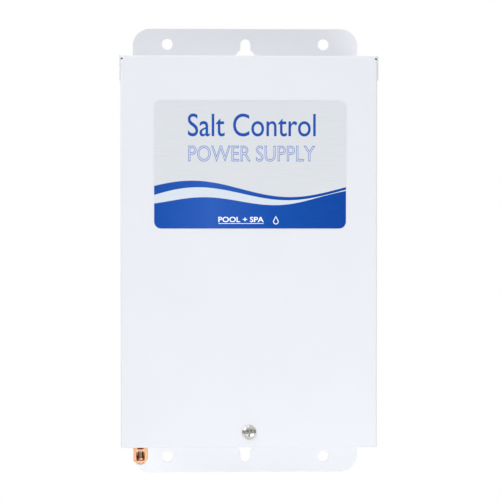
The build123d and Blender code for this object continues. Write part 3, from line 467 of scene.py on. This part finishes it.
def flat_slab(curve, thickness, front, left=0.0, bottom=0.0, stretch_x=1.0, stretch_z=1.0):
    """A flat XY curve filled, stood up in the XZ plane, and made a closed slab behind its front face."""
    curve.extrude = thickness / 2
    curve.fill_mode = "BOTH"
    mesh = mesh_of(curve)
    middle = front + thickness / 2
    rows = ((stretch_x, 0, 0, left), (0, 0, -1, middle), (0, stretch_z, 0, bottom), (0, 0, 0, 1))
    mesh.transform(Matrix(rows))
    return cleaned(mesh)


def outline_curve(name, loops):
    """A flat curve filled inside closed loops of (x, z) points; a loop inside another is a hole."""
    curve = bpy.data.curves.new(name, "CURVE")
    curve.dimensions = "2D"
    for loop in loops:
        spline = curve.splines.new("POLY")
        spline.points.add(len(loop) - 1)
        for point, (x, z) in zip(spline.points, loop):
            point.co = (x, z, 0.0, 1.0)
        spline.use_cyclic_u = True
    return curve


def wire_mesh(name, paths, radius, closed=False):
    """Round wires along paths of points, each smooth along its length and capped unless closed."""
    curve = bpy.data.curves.new(name, "CURVE")
    curve.dimensions = "3D"
    curve.bevel_depth = radius
    curve.bevel_resolution = 3
    curve.use_fill_caps = True
    for path in paths:
        spline = curve.splines.new("POLY")
        spline.points.add(len(path) - 1)
        for point, place in zip(spline.points, path):
            point.co = (*place, 1.0)
        spline.use_cyclic_u = closed
        spline.use_smooth = True
    return cleaned(mesh_of(curve))


def solid_boxes(node):
    """(low, high) of each separate solid of a CAD node, in order of X and then of Z."""
    shape = bmesh.new()
    shape.from_mesh(CAD[node].data)
    bmesh.ops.remove_doubles(shape, verts=shape.verts, dist=1e-6)
    left_over = set(shape.verts)
    boxes = []
    while left_over:
        island = [left_over.pop()]
        for vert in island:
            for edge in vert.link_edges:
                other = edge.other_vert(vert)
                if other in left_over:
                    left_over.discard(other)
                    island.append(other)
        ranges = [[v.co[axis] for v in island] for axis in range(3)]
        boxes.append((Vector(map(min, ranges)), Vector(map(max, ranges))))
    shape.free()
    return sorted(boxes, key=lambda b: (round(b[0].x, 4), round(b[0].z, 4)))


def boxes_mesh(name, boxes, bevel):
    """Small blocks with rounded edges."""
    shape = bmesh.new()
    for low, high in boxes:
        low, high = Vector(low), Vector(high)
        placed = Matrix.LocRotScale((low + high) / 2, None, high - low)
        bmesh.ops.create_cube(shape, size=1.0, matrix=placed)
    bmesh.ops.bevel(shape, geom=shape.edges[:], offset=bevel, segments=2, affect="EDGES", profile=0.7)
    bmesh.ops.recalc_face_normals(shape, faces=shape.faces)
    mesh = bpy.data.meshes.new(name)
    shape.to_mesh(mesh)
    shape.free()
    return mesh


def turned_mesh(name, seats, profile, segments=32):
    """Pieces turned about lines along -Y: from each seat, a profile of (radius, distance out) points."""
    shape = bmesh.new()
    for seat in seats:
        rows = []
        for radius, out in profile:
            count = segments if radius > 0 else 1
            angles = [math.tau * i / segments for i in range(count)]
            offsets = [(radius * math.cos(a), -out, radius * math.sin(a)) for a in angles]
            rows.append([shape.verts.new(Vector(seat) + Vector(offset)) for offset in offsets])
        for lower, upper in zip(rows, rows[1:]):
            for i in range(segments):
                corners = [lower[i % len(lower)], lower[(i + 1) % len(lower)]]
                corners += [upper[(i + 1) % len(upper)], upper[i % len(upper)]]
                shape.faces.new(list(dict.fromkeys(corners)))
    bmesh.ops.recalc_face_normals(shape, faces=shape.faces)
    mesh = bpy.data.meshes.new(name)
    shape.to_mesh(mesh)
    shape.free()
    for face in mesh.polygons:
        face.use_smooth = True
    mesh.set_sharp_from_angle(angle=math.radians(40))
    return mesh


def disc_loop(x, z, radius, steps=16):
    return [(x + radius * math.cos(math.tau * i / steps), z + radius * math.sin(math.tau * i / steps))
            for i in range(steps)]


def rectangle_loop(low_x, low_z, high_x, high_z):
    return [(low_x, low_z), (high_x, low_z), (high_x, high_z), (low_x, high_z)]


def ribbon_loop(points, width):
    """The outline of a strip of even width along a line of (x, z) points."""
    line = [Vector(p) for p in points]
    sides = ([], [])
    for i, point in enumerate(line):
        before = (point - line[i - 1]).normalized() if i else (line[1] - point).normalized()
        after = (line[i + 1] - point).normalized() if i + 1 < len(line) else before
        across = Vector((-(before + after).y, (before + after).x)).normalized()
        reach = width / 2 / max(0.3, across.dot(Vector((-before.y, before.x))))
        for side, sign in zip(sides, (1, -1)):
            side.append(tuple(point + across * reach * sign))
    return sides[0] + sides[1][::-1]


# ---------------------------------------------------------------- label print


LABEL_LO, LABEL_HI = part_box("overlay_label")
LABEL_WIDTH = LABEL_HI.x - LABEL_LO.x
LABEL_HEIGHT = LABEL_HI.z - LABEL_LO.z
LABEL_CORNER = 5.5 * MM
INK_THICKNESS = 0.02 * MM
INK_STEP = 0.03 * MM
BLUE_INK = blue_print("blue_ink", LABEL_LO, LABEL_HI)
TITLE_INK = printed_ink("title_ink", srgb(34, 80, 168))
OUTLINE_INK = printed_ink("outline_ink", srgb(118, 138, 198))
PALE_INK = printed_ink("pale_ink", srgb(209, 218, 227))
WHITE_INK = printed_ink("white_ink", srgb(246, 248, 252))
FILM_INK = printed_ink("film_ink", srgb(217, 222, 229))
CAPITAL_HEIGHT = 0.67


def printed_piece(name, curve, layer, ink, **placing):
    """A thin closed print on the label, which moves with the cover."""
    front = LABEL_LO.y - layer * INK_STEP
    return ridden_mesh(name, flat_slab(curve, INK_THICKNESS, front, **placing), ink, "cover")


def corner_arc(centre_x, centre_z, start):
    """A rounded label corner of a quarter turn, from an angle in degrees, counter-clockwise."""
    angles = [math.radians(start + 90 * i / 12) for i in range(13)]
    return [(centre_x + LABEL_CORNER * math.cos(a), centre_z + LABEL_CORNER * math.sin(a)) for a in angles]


def upper_wave(across):
    """Distance of the upper band's top edge below the label's top, at 0...1 across the label."""
    return LABEL_HEIGHT * (0.690 - 0.064 * math.cos(math.tau * (0.977 * across - 0.192)))


def band_width(across):
    """Height of the upper band, which thins out to the right."""
    return LABEL_HEIGHT * (0.020 + 0.051 * (1 - across) ** 2)


def lower_wave(across):
    """Distance of the lower field's top edge below the label's top, with a late rise to the right."""
    rise = max(0.0, (across - 0.63) / 0.37) ** 2
    return LABEL_HEIGHT * (0.786 - 0.031 * math.cos(math.tau * (1.35 * across - 0.351)) - 0.05 * rise)


WAVE_STEPS = 72
ACROSS = [i / WAVE_STEPS for i in range(WAVE_STEPS + 1)]


def label_x(across):
    """X of a point at 0...1 across the label."""
    return LABEL_LO.x + across * LABEL_WIDTH


def wave_band(top, bottom):
    """A loop right across the label between two curves, given as distances below its top."""
    upper = [(label_x(a), LABEL_HI.z - top(a)) for a in ACROSS]
    lower = [(label_x(a), LABEL_HI.z - bottom(a)) for a in reversed(ACROSS)]
    return upper + lower


def print_waves():
    stripe = wave_band(lambda a: upper_wave(a) + band_width(a), lower_wave)
    printed_piece("label_stripe", outline_curve("label_stripe", [stripe]), 1, PALE_INK)
    band = wave_band(upper_wave, lambda a: upper_wave(a) + band_width(a))
    printed_piece("label_wave_band", outline_curve("label_wave_band", [band]), 1, BLUE_INK)
    crest = [(label_x(a), LABEL_HI.z - lower_wave(a)) for a in ACROSS]
    right = corner_arc(LABEL_HI.x - LABEL_CORNER, LABEL_LO.z + LABEL_CORNER, 270)
    left = corner_arc(LABEL_LO.x + LABEL_CORNER, LABEL_LO.z + LABEL_CORNER, 180)
    field = crest + list(reversed(right)) + list(reversed(left))
    printed_piece("label_wave_field", outline_curve("label_wave_field", [field]), 1, BLUE_INK)


def lettering(name, text, left, right, baseline, height, weight=0.0):
    """A text curve, and how to place it between two X places on a baseline, at a capital height."""
    curve = bpy.data.curves.new(name, "FONT")
    curve.body = text
    curve.resolution_u = 6
    probe = bpy.data.objects.new(name + "_probe", curve)
    bpy.context.scene.collection.objects.link(probe)
    bpy.context.view_layer.update()
    ends = [corner[0] for corner in probe.bound_box]
    bpy.data.objects.remove(probe)
    curve.offset = weight
    stretch_x = (right - left) / (max(ends) - min(ends))
    placing = {"left": left - min(ends) * stretch_x, "bottom": baseline, "stretch_x": stretch_x}
    return curve, {**placing, "stretch_z": height / CAPITAL_HEIGHT}


def label_words(name, text, left, right, below_top, height, layer, ink, weight=0.0):
    """Lettering placed by distances from the label's left edge and below its top."""
    place = (LABEL_LO.x + left, LABEL_LO.x + right, LABEL_HI.z - below_top, height)
    curve, placing = lettering(name, text, *place, weight)
    printed_piece(name, curve, layer, ink, **placing)


def print_words():
    title = ("Salt Control", 26.8 * MM, 128.2 * MM, 28.2 * MM, 17.2 * MM)
    label_words("label_title", *title, 1, TITLE_INK, 0.004)
    words = ("POWER SUPPLY", 27.2 * MM, 127.6 * MM, 48.1 * MM, 11.8 * MM)
    label_words("label_subtitle_outline", *words, 1, OUTLINE_INK, 0.012)
    label_words("label_subtitle_fill", *words, 2, FILM_INK, -0.026)
    use = ("POOL + SPA", 51.0 * MM, 86.8 * MM, 96.4 * MM, 3.9 * MM)
    label_words("label_use", *use, 2, WHITE_INK, 0.02)


def drop_loop(centre_x, centre_z, radius, tip):
    """A water drop: a round belly of that radius under a tip at that height above its centre."""
    lean = math.asin(radius / tip)
    steps = 28
    turns = [math.pi - lean + (math.pi + 2 * lean) * i / steps for i in range(steps + 1)]
    return [(centre_x, centre_z + tip)] + [
        (centre_x + radius * math.cos(t), centre_z + radius * math.sin(t)) for t in turns
    ]


def print_marks():
    left, top = LABEL_LO.x + 51.0 * MM, LABEL_HI.z - 97.4 * MM
    rule = rectangle_loop(left, top - 0.4 * MM, left + 35.8 * MM, top)
    printed_piece("label_rule", outline_curve("label_rule", [rule]), 2, WHITE_INK)
    centre = (LABEL_LO.x + 96.6 * MM, LABEL_HI.z - 96.1 * MM)
    outer = drop_loop(*centre, 2.2 * MM, 4.6 * MM)
    inner = drop_loop(*centre, 1.55 * MM, 3.5 * MM)
    printed_piece("label_drop", outline_curve("label_drop", [outer, inner]), 2, WHITE_INK)


# ---------------------------------------------------------------- on the circuit board


BOARD_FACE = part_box("circuit_board")[0].y
PRINT_THICKNESS = 0.04 * MM
SUPPLY_TRACK_WIDTH = 2.6 * MM
SIGNAL_TRACK_WIDTH = 0.6 * MM
HEADER_FIRST_PIN = -50.9
HEADER_PITCH = 2.54
LAMP_TRACK_STEP = 1.6
MASKED_COPPER = solder_mask("masked_copper", (0.03, 0.21, 0.085))
SILK_INK = printed_ink("silk_ink", (0.78, 0.80, 0.78))
SOLDER = turned_metal("solder", (0.70, 0.71, 0.72), 0.3)
SUPPLY_TRACKS = {
    "mains_live": [(-60.2, -88.5), (-60.2, -74.5)],
    "fused_live": [(-38.6, -70.0), (-30.0, -70.0), (-24.0, -76.0), (-3.0, -76.0)],
    "neutral": [(-50.7, -88.5), (-50.7, -80.0), (-28.0, -80.0), (-24.0, -84.0), (0.0, -84.0), (4.0, -80.0)],
    "rectified_plus": [(8.0, -22.0), (15.0, -29.0), (44.0, -29.0)],
    "rectified_minus": [(-8.0, -22.0), (-8.0, -28.0), (7.0, -42.0), (40.0, -42.0), (45.0, -47.0)],
    "cell_plus": [(56.0, -72.0), (56.0, -87.5)],
    "cell_switched": [(25.0, -75.5), (25.0, -78.0), (34.5, -87.5)],
    "cell_minus": [(41.0, -60.0), (37.0, -64.0), (37.0, -78.0), (44.0, -85.0), (44.0, -87.5)],
    "ground": [(-66.0, -70.0), (-72.0, -76.0), (-72.0, -100.0), (-66.0, -106.0), (60.0, -106.0)],
}


def on_board(name, loops, layer, finish):
    """A thin printed layer on the board's component side."""
    front = BOARD_FACE - layer * PRINT_THICKNESS
    slab = flat_slab(outline_curve(name, loops), PRINT_THICKNESS, front)
    return ridden_mesh(name, slab, finish, "enclosure")


def in_mm(points):
    return [(x * MM, z * MM) for x, z in points]


def board_tracks():
    """Wide supply tracks, and narrow ones fanned out between header, chips and indicator lamps."""
    loops = [ribbon_loop(in_mm(line), SUPPLY_TRACK_WIDTH) for line in SUPPLY_TRACKS.values()]
    for i in range(8):
        header_x = HEADER_FIRST_PIN + HEADER_PITCH * i
        chip_x = -43.4 + 3.6 * i
        bend = -36.0 - abs(3.5 - i) * 0.4
        fan = [(header_x, -29.0), (header_x, -31.0), (chip_x, bend), (chip_x, -40.5)]
        loops.append(ribbon_loop(in_mm(fan), SIGNAL_TRACK_WIDTH))
    for i in range(4):
        upper_x = -33.4 + 3.6 * i
        lower_x = -31.4 + 2.2 * i
        fan = [(upper_x, -51.5), (upper_x, -53.0), (lower_x, -55.0), (lower_x, -56.4)]
        loops.append(ribbon_loop(in_mm(fan), SIGNAL_TRACK_WIDTH))
        step = -LAMP_TRACK_STEP * i
        lamp = [(-60.0, -24.0 + step), (-57.5, -26.5 + step), (-57.5, -32.0 + step), (-49.0, -40.5 + step)]
        loops.append(ribbon_loop(in_mm(lamp), SIGNAL_TRACK_WIDTH))
    on_board("board_tracks", loops, 1, MASKED_COPPER)


def board_silkscreen():
    """White outlines round every component."""
    line, gap = 0.3 * MM, 0.9 * MM
    loops = []
    for node in ("relays", "power_resistors", "chips", "ribbon_header", "fuse_glass", "varistor"):
        for low, high in solid_boxes(node):
            for inset in (0.0, line):
                reach = gap - inset
                loops.append(rectangle_loop(low.x - reach, low.z - reach, high.x + reach, high.z + reach))
    for node in ("filter_capacitors", "output_choke", "status_leds"):
        for low, high in solid_boxes(node):
            centre = (low + high) / 2
            radius = (high.x - low.x) / 2 + gap * 0.6
            for inset in (0.0, line):
                loops.append(disc_loop(centre.x, centre.z, radius - inset, 48))
    on_board("board_silkscreen", loops, 2, SILK_INK)


def pole_numbers(node, text):
    """Silkscreened numbers above the poles of a terminal block."""
    low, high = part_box(node)
    inset = 4.6 * MM
    name = node + "_numbers"
    place = (low.x + inset, high.x - inset, high.z + 1.6 * MM, 2.2 * MM)
    curve, placing = lettering(name, text, *place)
    slab = flat_slab(curve, PRINT_THICKNESS, BOARD_FACE - 2 * PRINT_THICKNESS, **placing)
    ridden_mesh(name, slab, SILK_INK, "enclosure")


def board_solder():
    """Bright joints where the rectifier's leads meet the board, and plated holes along the tracks."""
    joint = [(2.4, 0.0), (2.3, 0.25), (1.7, 0.7), (1.42, 1.6), (0.0, 1.6)]
    seats = [(x, -22.0) for x in (-8.0, 8.0)]
    dome = [(0.75, 0.0), (0.7, 0.12), (0.45, 0.3), (0.0, 0.36)]
    holes = [(HEADER_FIRST_PIN + HEADER_PITCH * i, -31.0) for i in range(8)]
    holes += [(-60.0, -24.0 - LAMP_TRACK_STEP * i) for i in range(4)]
    holes += [(6.0 + 4.0 * i, -106.0) for i in range(6)]
    for name, places, profile in (("solder_joints", seats, joint), ("board_vias", holes, dome)):
        on_face = [(x * MM, BOARD_FACE, z * MM) for x, z in places]
        mesh = turned_mesh(name, on_face, in_mm(profile), 24)
        ridden_mesh(name, mesh, SOLDER, "enclosure")


def chip_legs():
    """Rows of bent legs along both long sides of each chip."""
    legs = []
    thick, half_wide, reach = 0.25 * MM, 0.25 * MM, 0.9 * MM
    for low, high in solid_boxes("chips"):
        lying = high.x - low.x > high.z - low.z
        length, width = (high.x - low.x, high.z - low.z)[:: 1 if lying else -1]
        pitch = 2.54 * MM if length > 20 * MM else 1.27 * MM
        count = int((length - 0.6 * MM) / pitch) + 1
        middle = (low + high) / 2
        shoulder = low.y + (high.y - low.y) * 0.45
        for i in range(count):
            along = (i - (count - 1) / 2) * pitch
            for side in (-1, 1):
                edge = side * width / 2
                toe = edge + side * reach
                spans = (
                    (edge, toe, shoulder, shoulder + thick),
                    (toe - side * thick, toe, shoulder, BOARD_FACE),
                )
                for start, end, front, back in spans:
                    inner, outer = sorted((start, end))
                    low_corner = (along - half_wide, inner)[:: 1 if lying else -1]
                    high_corner = (along + half_wide, outer)[:: 1 if lying else -1]
                    legs.append((
                        (middle.x + low_corner[0], front, middle.z + low_corner[1]),
                        (middle.x + high_corner[0], back, middle.z + high_corner[1]),
                    ))
    mesh = boxes_mesh("chip_legs", legs, 0.05 * MM)
    ridden_mesh("chip_legs", mesh, SOLDER, "enclosure")


def small_parts():
    """Surface-mounted resistors and capacitors in rows round the controller."""
    places = [(-46.0 + 3.2 * i, -55.2) for i in range(3)]
    places += [(-17.0, -60.0 - 4.0 * i) for i in range(3)]
    places += [(-52.0, -46.0 - 3.5 * i) for i in range(2)]
    places += [(-14.0, -33.0 - 4.0 * i) for i in range(2)]
    places += [(-56.0, -56.0 - 4.0 * i) for i in range(2)]
    places += [(66.0, -88.0 - 4.0 * i) for i in range(3)]
    places += [(6.0 + 6.0 * i, -98.0) for i in range(3)]
    bodies, ends = [], []
    for x, z in in_mm(places):
        bodies.append((
            (x - 0.7 * MM, BOARD_FACE - 0.65 * MM, z - 0.62 * MM),
            (x + 0.7 * MM, BOARD_FACE, z + 0.62 * MM),
        ))
        for side in (-1, 1):
            inner, outer = sorted((x + side * 0.6 * MM, x + side * 1.1 * MM))
            ends.append(((inner, BOARD_FACE - 0.7 * MM, z - 0.66 * MM), (outer, BOARD_FACE, z + 0.66 * MM)))
    sets = (
        ("small_part_bodies", bodies, MATERIALS["chip_epoxy"], "chip_epoxy"),
        ("small_part_ends", ends, SOLDER, "tinned_brass"),
    )
    for name, boxes, finish, slot in sets:
        ridden_mesh(name, boxes_mesh(name, boxes, 0.08 * MM), finish, "enclosure")


def capacitor_trim():
    """Bare aluminium tops with a pressed cross drawn as black lines, which are painted shade for its
    grooves, and a pale stripe down each can.
    """
    tops, stripes, vent_shade_lines = [], [], []
    for low, high in solid_boxes("filter_capacitors"):
        centre = (low + high) / 2
        radius = (high.x - low.x) / 2
        tops.append((centre.x, low.y + 0.1 * MM, centre.z))
        # The pressed cross is drawn as dark rods over the plain lid: painted shade standing in for its
        # grooves.
        for turn in (45, 135):
            reach = 0.5 * radius * Vector((math.cos(math.radians(turn)), math.sin(math.radians(turn))))
            vent_shade_lines.append([
                (centre.x + side * reach.x, low.y - 0.22 * MM, centre.z + side * reach.y)
                for side in (-1, 1)
            ])
        for i in range(9):
            angle = math.radians(205 + 4 * i)
            x = centre.x + radius * math.cos(angle)
            z = centre.z + radius * math.sin(angle)
            stripes.append([(x, low.y + 1.5 * MM, z), (x, high.y - 1.5 * MM, z)])
    lid = in_mm([(9.4, 0.0), (9.4, 0.3), (9.0, 0.36), (0.0, 0.32)])
    pieces = (
        ("capacitor_tops", turned_mesh("capacitor_tops", tops, lid, 48), MATERIALS["aluminium"]),
        ("capacitor_vent_shade", wire_mesh("capacitor_vent_shade", vent_shade_lines, 0.22 * MM), MATERIALS["chip_epoxy"]),
        ("capacitor_stripes", wire_mesh("capacitor_stripes", stripes, 0.42 * MM), SILK_INK),
    )
    for name, mesh, finish in pieces:
        ridden_mesh(name, mesh, finish, "enclosure")


def relay_marks():
    """A printed coil-and-contact diagram on each relay's lid."""
    stroke, across, up = 0.3 * MM, 4.2 * MM, 8.0 * MM
    loops = []
    for low, high in solid_boxes("relays"):
        x, z = (low.x + high.x) / 2, (low.z + high.z) / 2
        for inset in (0.0, stroke):
            reach = across - inset
            loops.append(rectangle_loop(x - reach, z - up + inset, x + reach, z - up / 2 - inset))
        lines = (
            [(x - across, z + 1 * MM), (x - 1 * MM, z + 1 * MM), (x + across * 0.7, z + 4 * MM)],
            [(x + across, z + 1 * MM), (x + 1.6 * MM, z + 1 * MM)],
            [(x, z - 3.6 * MM), (x, z + 0.2 * MM)],
        )
        loops += [ribbon_loop(line, stroke) for line in lines]
    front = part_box("relays")[0].y - INK_STEP
    slab = flat_slab(outline_curve("relay_marks", loops), PRINT_THICKNESS, front)
    ridden_mesh("relay_marks", slab, SILK_INK, "enclosure")


# ---------------------------------------------------------------- windings and terminals


CHOKE_TURNS = 40
SECONDARY_TURNS = 14
WINDING_CORNER = 6.0 * MM
WINDING_HOLE_SIDE = 18.6 * MM
WINDING_HOLE_END = 15.4 * MM
SPADE_WIDTH = 6.3 * MM


def choke_winding():
    """The choke as a ferrite ring with separate turns of enamelled wire, open at one side."""
    low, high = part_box("output_choke")
    centre = (low + high) / 2
    section = (high.y - low.y) / 2
    ring = (high.x - low.x) / 2 - section
    wire = 0.45 * MM
    around = disc_loop(centre.x, centre.z, ring, 64)
    path = [(x, centre.y, z) for x, z in around]
    core = wire_mesh("choke_core", [path], section - 2 * wire, closed=True)
    ridden_mesh("choke_core", core, MATERIALS["chip_epoxy"], "enclosure")
    turns = []
    for turn in range(CHOKE_TURNS):
        place = math.radians(-70 + 320 * turn / (CHOKE_TURNS - 1))
        hoop = disc_loop(ring, centre.y, section - wire)
        turns.append([
            (centre.x + out * math.cos(place), depth, centre.z + out * math.sin(place))
            for out, depth in hoop
        ])
    wound = wire_mesh("choke_turns", turns, wire, closed=True)
    piece = ridden_mesh("choke_turns", wound, MATERIALS["ferrite"], "enclosure")
    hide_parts("output_choke")


def rounded_loop(low, high, inset, corner, steps=8):
    """A rounded rectangle of (x, z) points a distance inside a box."""
    reach = corner + inset
    centres = (
        (high.x - reach, high.z - reach, 0),
        (low.x + reach, high.z - reach, 90),
        (low.x + reach, low.z + reach, 180),
        (high.x - reach, low.z + reach, 270),
    )
    points = []
    for x, z, start in centres:
        for i in range(steps + 1):
            angle = math.radians(start + 90 * i / steps)
            points.append((x + corner * math.cos(angle), z + corner * math.sin(angle)))
    return points


def secondary_turns():
    """The heavy secondary as separate turns of round wire, side by side between the bobbin's flanges."""
    low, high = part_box("secondary_winding")
    wire = (high.y - low.y) / SECONDARY_TURNS / 2
    corner = WINDING_CORNER
    outline = rounded_loop(low, high, wire, corner - wire)
    depths = [low.y + wire * (2 * turn + 1) for turn in range(SECONDARY_TURNS)]
    paths = [[(x, depth, z) for x, z in outline] for depth in depths]
    wound = wire_mesh("secondary_turns", paths, wire, closed=True)
    turns = ridden_mesh("secondary_turns", wound, MATERIALS["copper_wire"], "enclosure")
    inset = 1.3 * wire
    skin = rounded_loop(low, high, inset, corner - inset)
    limb_low, limb_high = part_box("transformer_bobbin")
    end = WINDING_HOLE_END
    side = WINDING_HOLE_SIDE
    tube = rectangle_loop(-side, limb_low.z + end, side, limb_high.z - end)
    under = flat_slab(outline_curve("secondary_layers", [skin, tube]), high.y - low.y, low.y)
    ridden_mesh("secondary_layers", under, MATERIALS["copper_wire"], "enclosure")
    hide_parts("secondary_winding")


def crimp_sleeves():
    """Vinyl sleeves over the push-on terminals of the rectifier, with a flared mouth."""
    low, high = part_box("rectifier_spades")
    half_tab = SPADE_WIDTH / 2
    sleeve = [(0.0, -5.5), (3.1, -5.5), (3.1, -1.5), (2.3, 0.2), (2.2, 4.2), (1.9, 4.8), (0.0, 4.8)]
    rows = (
        ("supply_sleeves", high.z - 0.4 * MM, "yellow_wire"),
        ("rectified_sleeves", low.z + 0.4 * MM, "red_wire"),
    )
    for name, z, slot in rows:
        seats = [(x, low.y, z) for x in (low.x + half_tab, high.x - half_tab)]
        mesh = turned_mesh(name, seats, in_mm(sleeve), 24)
        ridden_mesh(name, mesh, MATERIALS[slot], "enclosure")


def build_inside():
    board_tracks()
    board_silkscreen()
    pole_numbers("mains_terminal_block", "1 2 3 4")
    pole_numbers("output_terminal_block", "5 6 7")
    board_solder()
    chip_legs()
    small_parts()
    capacitor_trim()
    relay_marks()
    choke_winding()
    secondary_turns()
    crimp_sleeves()


dress_cad_nodes()
build_inside()
print_waves()
print_words()
print_marks()


# ---------------------------------------------------------------- studio and camera


WALL_LIGHT = 0.4
ROOM_LIGHT = 1.0
FRONT_SHARE = 0.35
FLOOR_LEVEL = -1.75
FLOOR_RADIUS = 6.0
FLOOR_FADE = (1.4, 3.4)


def studio_floor():
    mesh = bpy.data.meshes.new("studio_floor")
    shape = bmesh.new()
    bmesh.ops.create_circle(shape, cap_ends=True, segments=128, radius=FLOOR_RADIUS)
    bmesh.ops.translate(shape, verts=shape.verts, vec=(0, 0, FLOOR_LEVEL))
    shape.to_mesh(mesh)
    shape.free()
    floor = bpy.data.objects.new("studio_floor", mesh)
    bpy.context.scene.collection.objects.link(floor)
    finish = Finish("studio_floor", (0.9, 0.9, 0.9), 0.9, **{"Emission Color": (1, 1, 1, 1)})
    finish.tint(finish.noise(0.4, detail=2.0), (0.88, 0.88, 0.88))
    away = finish.node("VectorMath", {0: finish.place}, operation="LENGTH").outputs["Value"]
    finish.drive(Emission_Strength=finish.span(away, *FLOOR_FADE, 0.0, 0.35))
    mesh.materials.append(finish.done())


def area_light(name, place, aim, size, power):
    light = bpy.data.lights.new(name, "AREA")
    light.shape = "RECTANGLE"
    light.size, light.size_y = size
    light.energy = power
    lamp = bpy.data.objects.new(name, light)
    lamp.location = place
    lamp.rotation_euler = (Vector(aim) - Vector(place)).to_track_quat("-Z", "Y").to_euler()
    bpy.context.scene.collection.objects.link(lamp)


def studio_world():
    """White where seen directly; as light, a white room whose walls are a grey band, darkest in front."""
    world = bpy.data.worlds.new("studio_world")
    world.use_nodes = True
    tree = world.node_tree

    def node(kind, inputs, **settings):
        made = tree.nodes.new("ShaderNode" + kind)
        for key, value in settings.items():
            setattr(made, key, value)
        for key, value in inputs.items():
            if isinstance(value, bpy.types.NodeSocket):
                tree.links.new(value, made.inputs[key])
            else:
                made.inputs[key].default_value = value
        return made

    def ramp(value, low, high, start, end):
        inputs = {"Value": value, "From Min": low, "From Max": high, "To Min": start, "To Max": end}
        return node("MapRange", inputs, interpolation_type="SMOOTHSTEP").outputs["Result"]

    direction = tree.nodes.new("ShaderNodeTexCoord").outputs["Generated"]
    axes = node("SeparateXYZ", {"Vector": direction}).outputs
    height = node("Math", {0: axes["Z"]}, operation="ABSOLUTE").outputs[0]
    walls = ramp(height, 0.12, 0.5, WALL_LIGHT, ROOM_LIGHT)
    front = ramp(axes["Y"], -0.97, -0.7, FRONT_SHARE, 1.0)
    room = node("Math", {0: walls, 1: front}, operation="MULTIPLY").outputs[0]
    seen = tree.nodes.new("ShaderNodeLightPath").outputs["Is Camera Ray"]
    strength = ramp(seen, 0.0, 1.0, room, 1.0)
    tree.links.new(strength, tree.nodes["Background"].inputs["Strength"])
    tree.nodes["Background"].inputs["Color"].default_value = (1, 1, 1, 1)
    bpy.context.scene.world = world


CAMERA_DISTANCE = 1.3565
CAMERA_YAW = math.radians(-1.656)
CAMERA_PITCH = math.radians(-0.960)
CAMERA_LENS = 122.9
AIM = Vector((0.7 * MM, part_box("front_cover")[0].y, 2.75 * MM))


def photo_camera():
    camera = bpy.data.cameras.new("photo_camera")
    camera.lens = CAMERA_LENS
    camera.sensor_width = 36.0
    holder = bpy.data.objects.new("photo_camera", camera)
    ahead = Vector((
        -math.sin(CAMERA_YAW) * math.cos(CAMERA_PITCH),
        math.cos(CAMERA_YAW) * math.cos(CAMERA_PITCH),
        math.sin(CAMERA_PITCH),
    ))
    holder.location = AIM - ahead * CAMERA_DISTANCE
    holder.rotation_euler = ahead.to_track_quat("-Z", "Y").to_euler()
    bpy.context.scene.collection.objects.link(holder)
    bpy.context.scene.camera = holder


bpy.context.scene.view_settings.view_transform = "Standard"
studio_world()
studio_floor()
area_light("left_softbox", (-1.5, -1.3, 1.05), (0, -0.05, 0.05), (1.2, 1.2), 9.5)
area_light("top_softbox", (-0.4, -0.6, 1.4), (0, 0, 0.18), (1.0, 0.5), 5.0)
area_light("low_softbox", (0.4, -1.3, -0.75), (0.05, -0.05, -0.1), (1.3, 0.6), 8.2)
photo_camera()
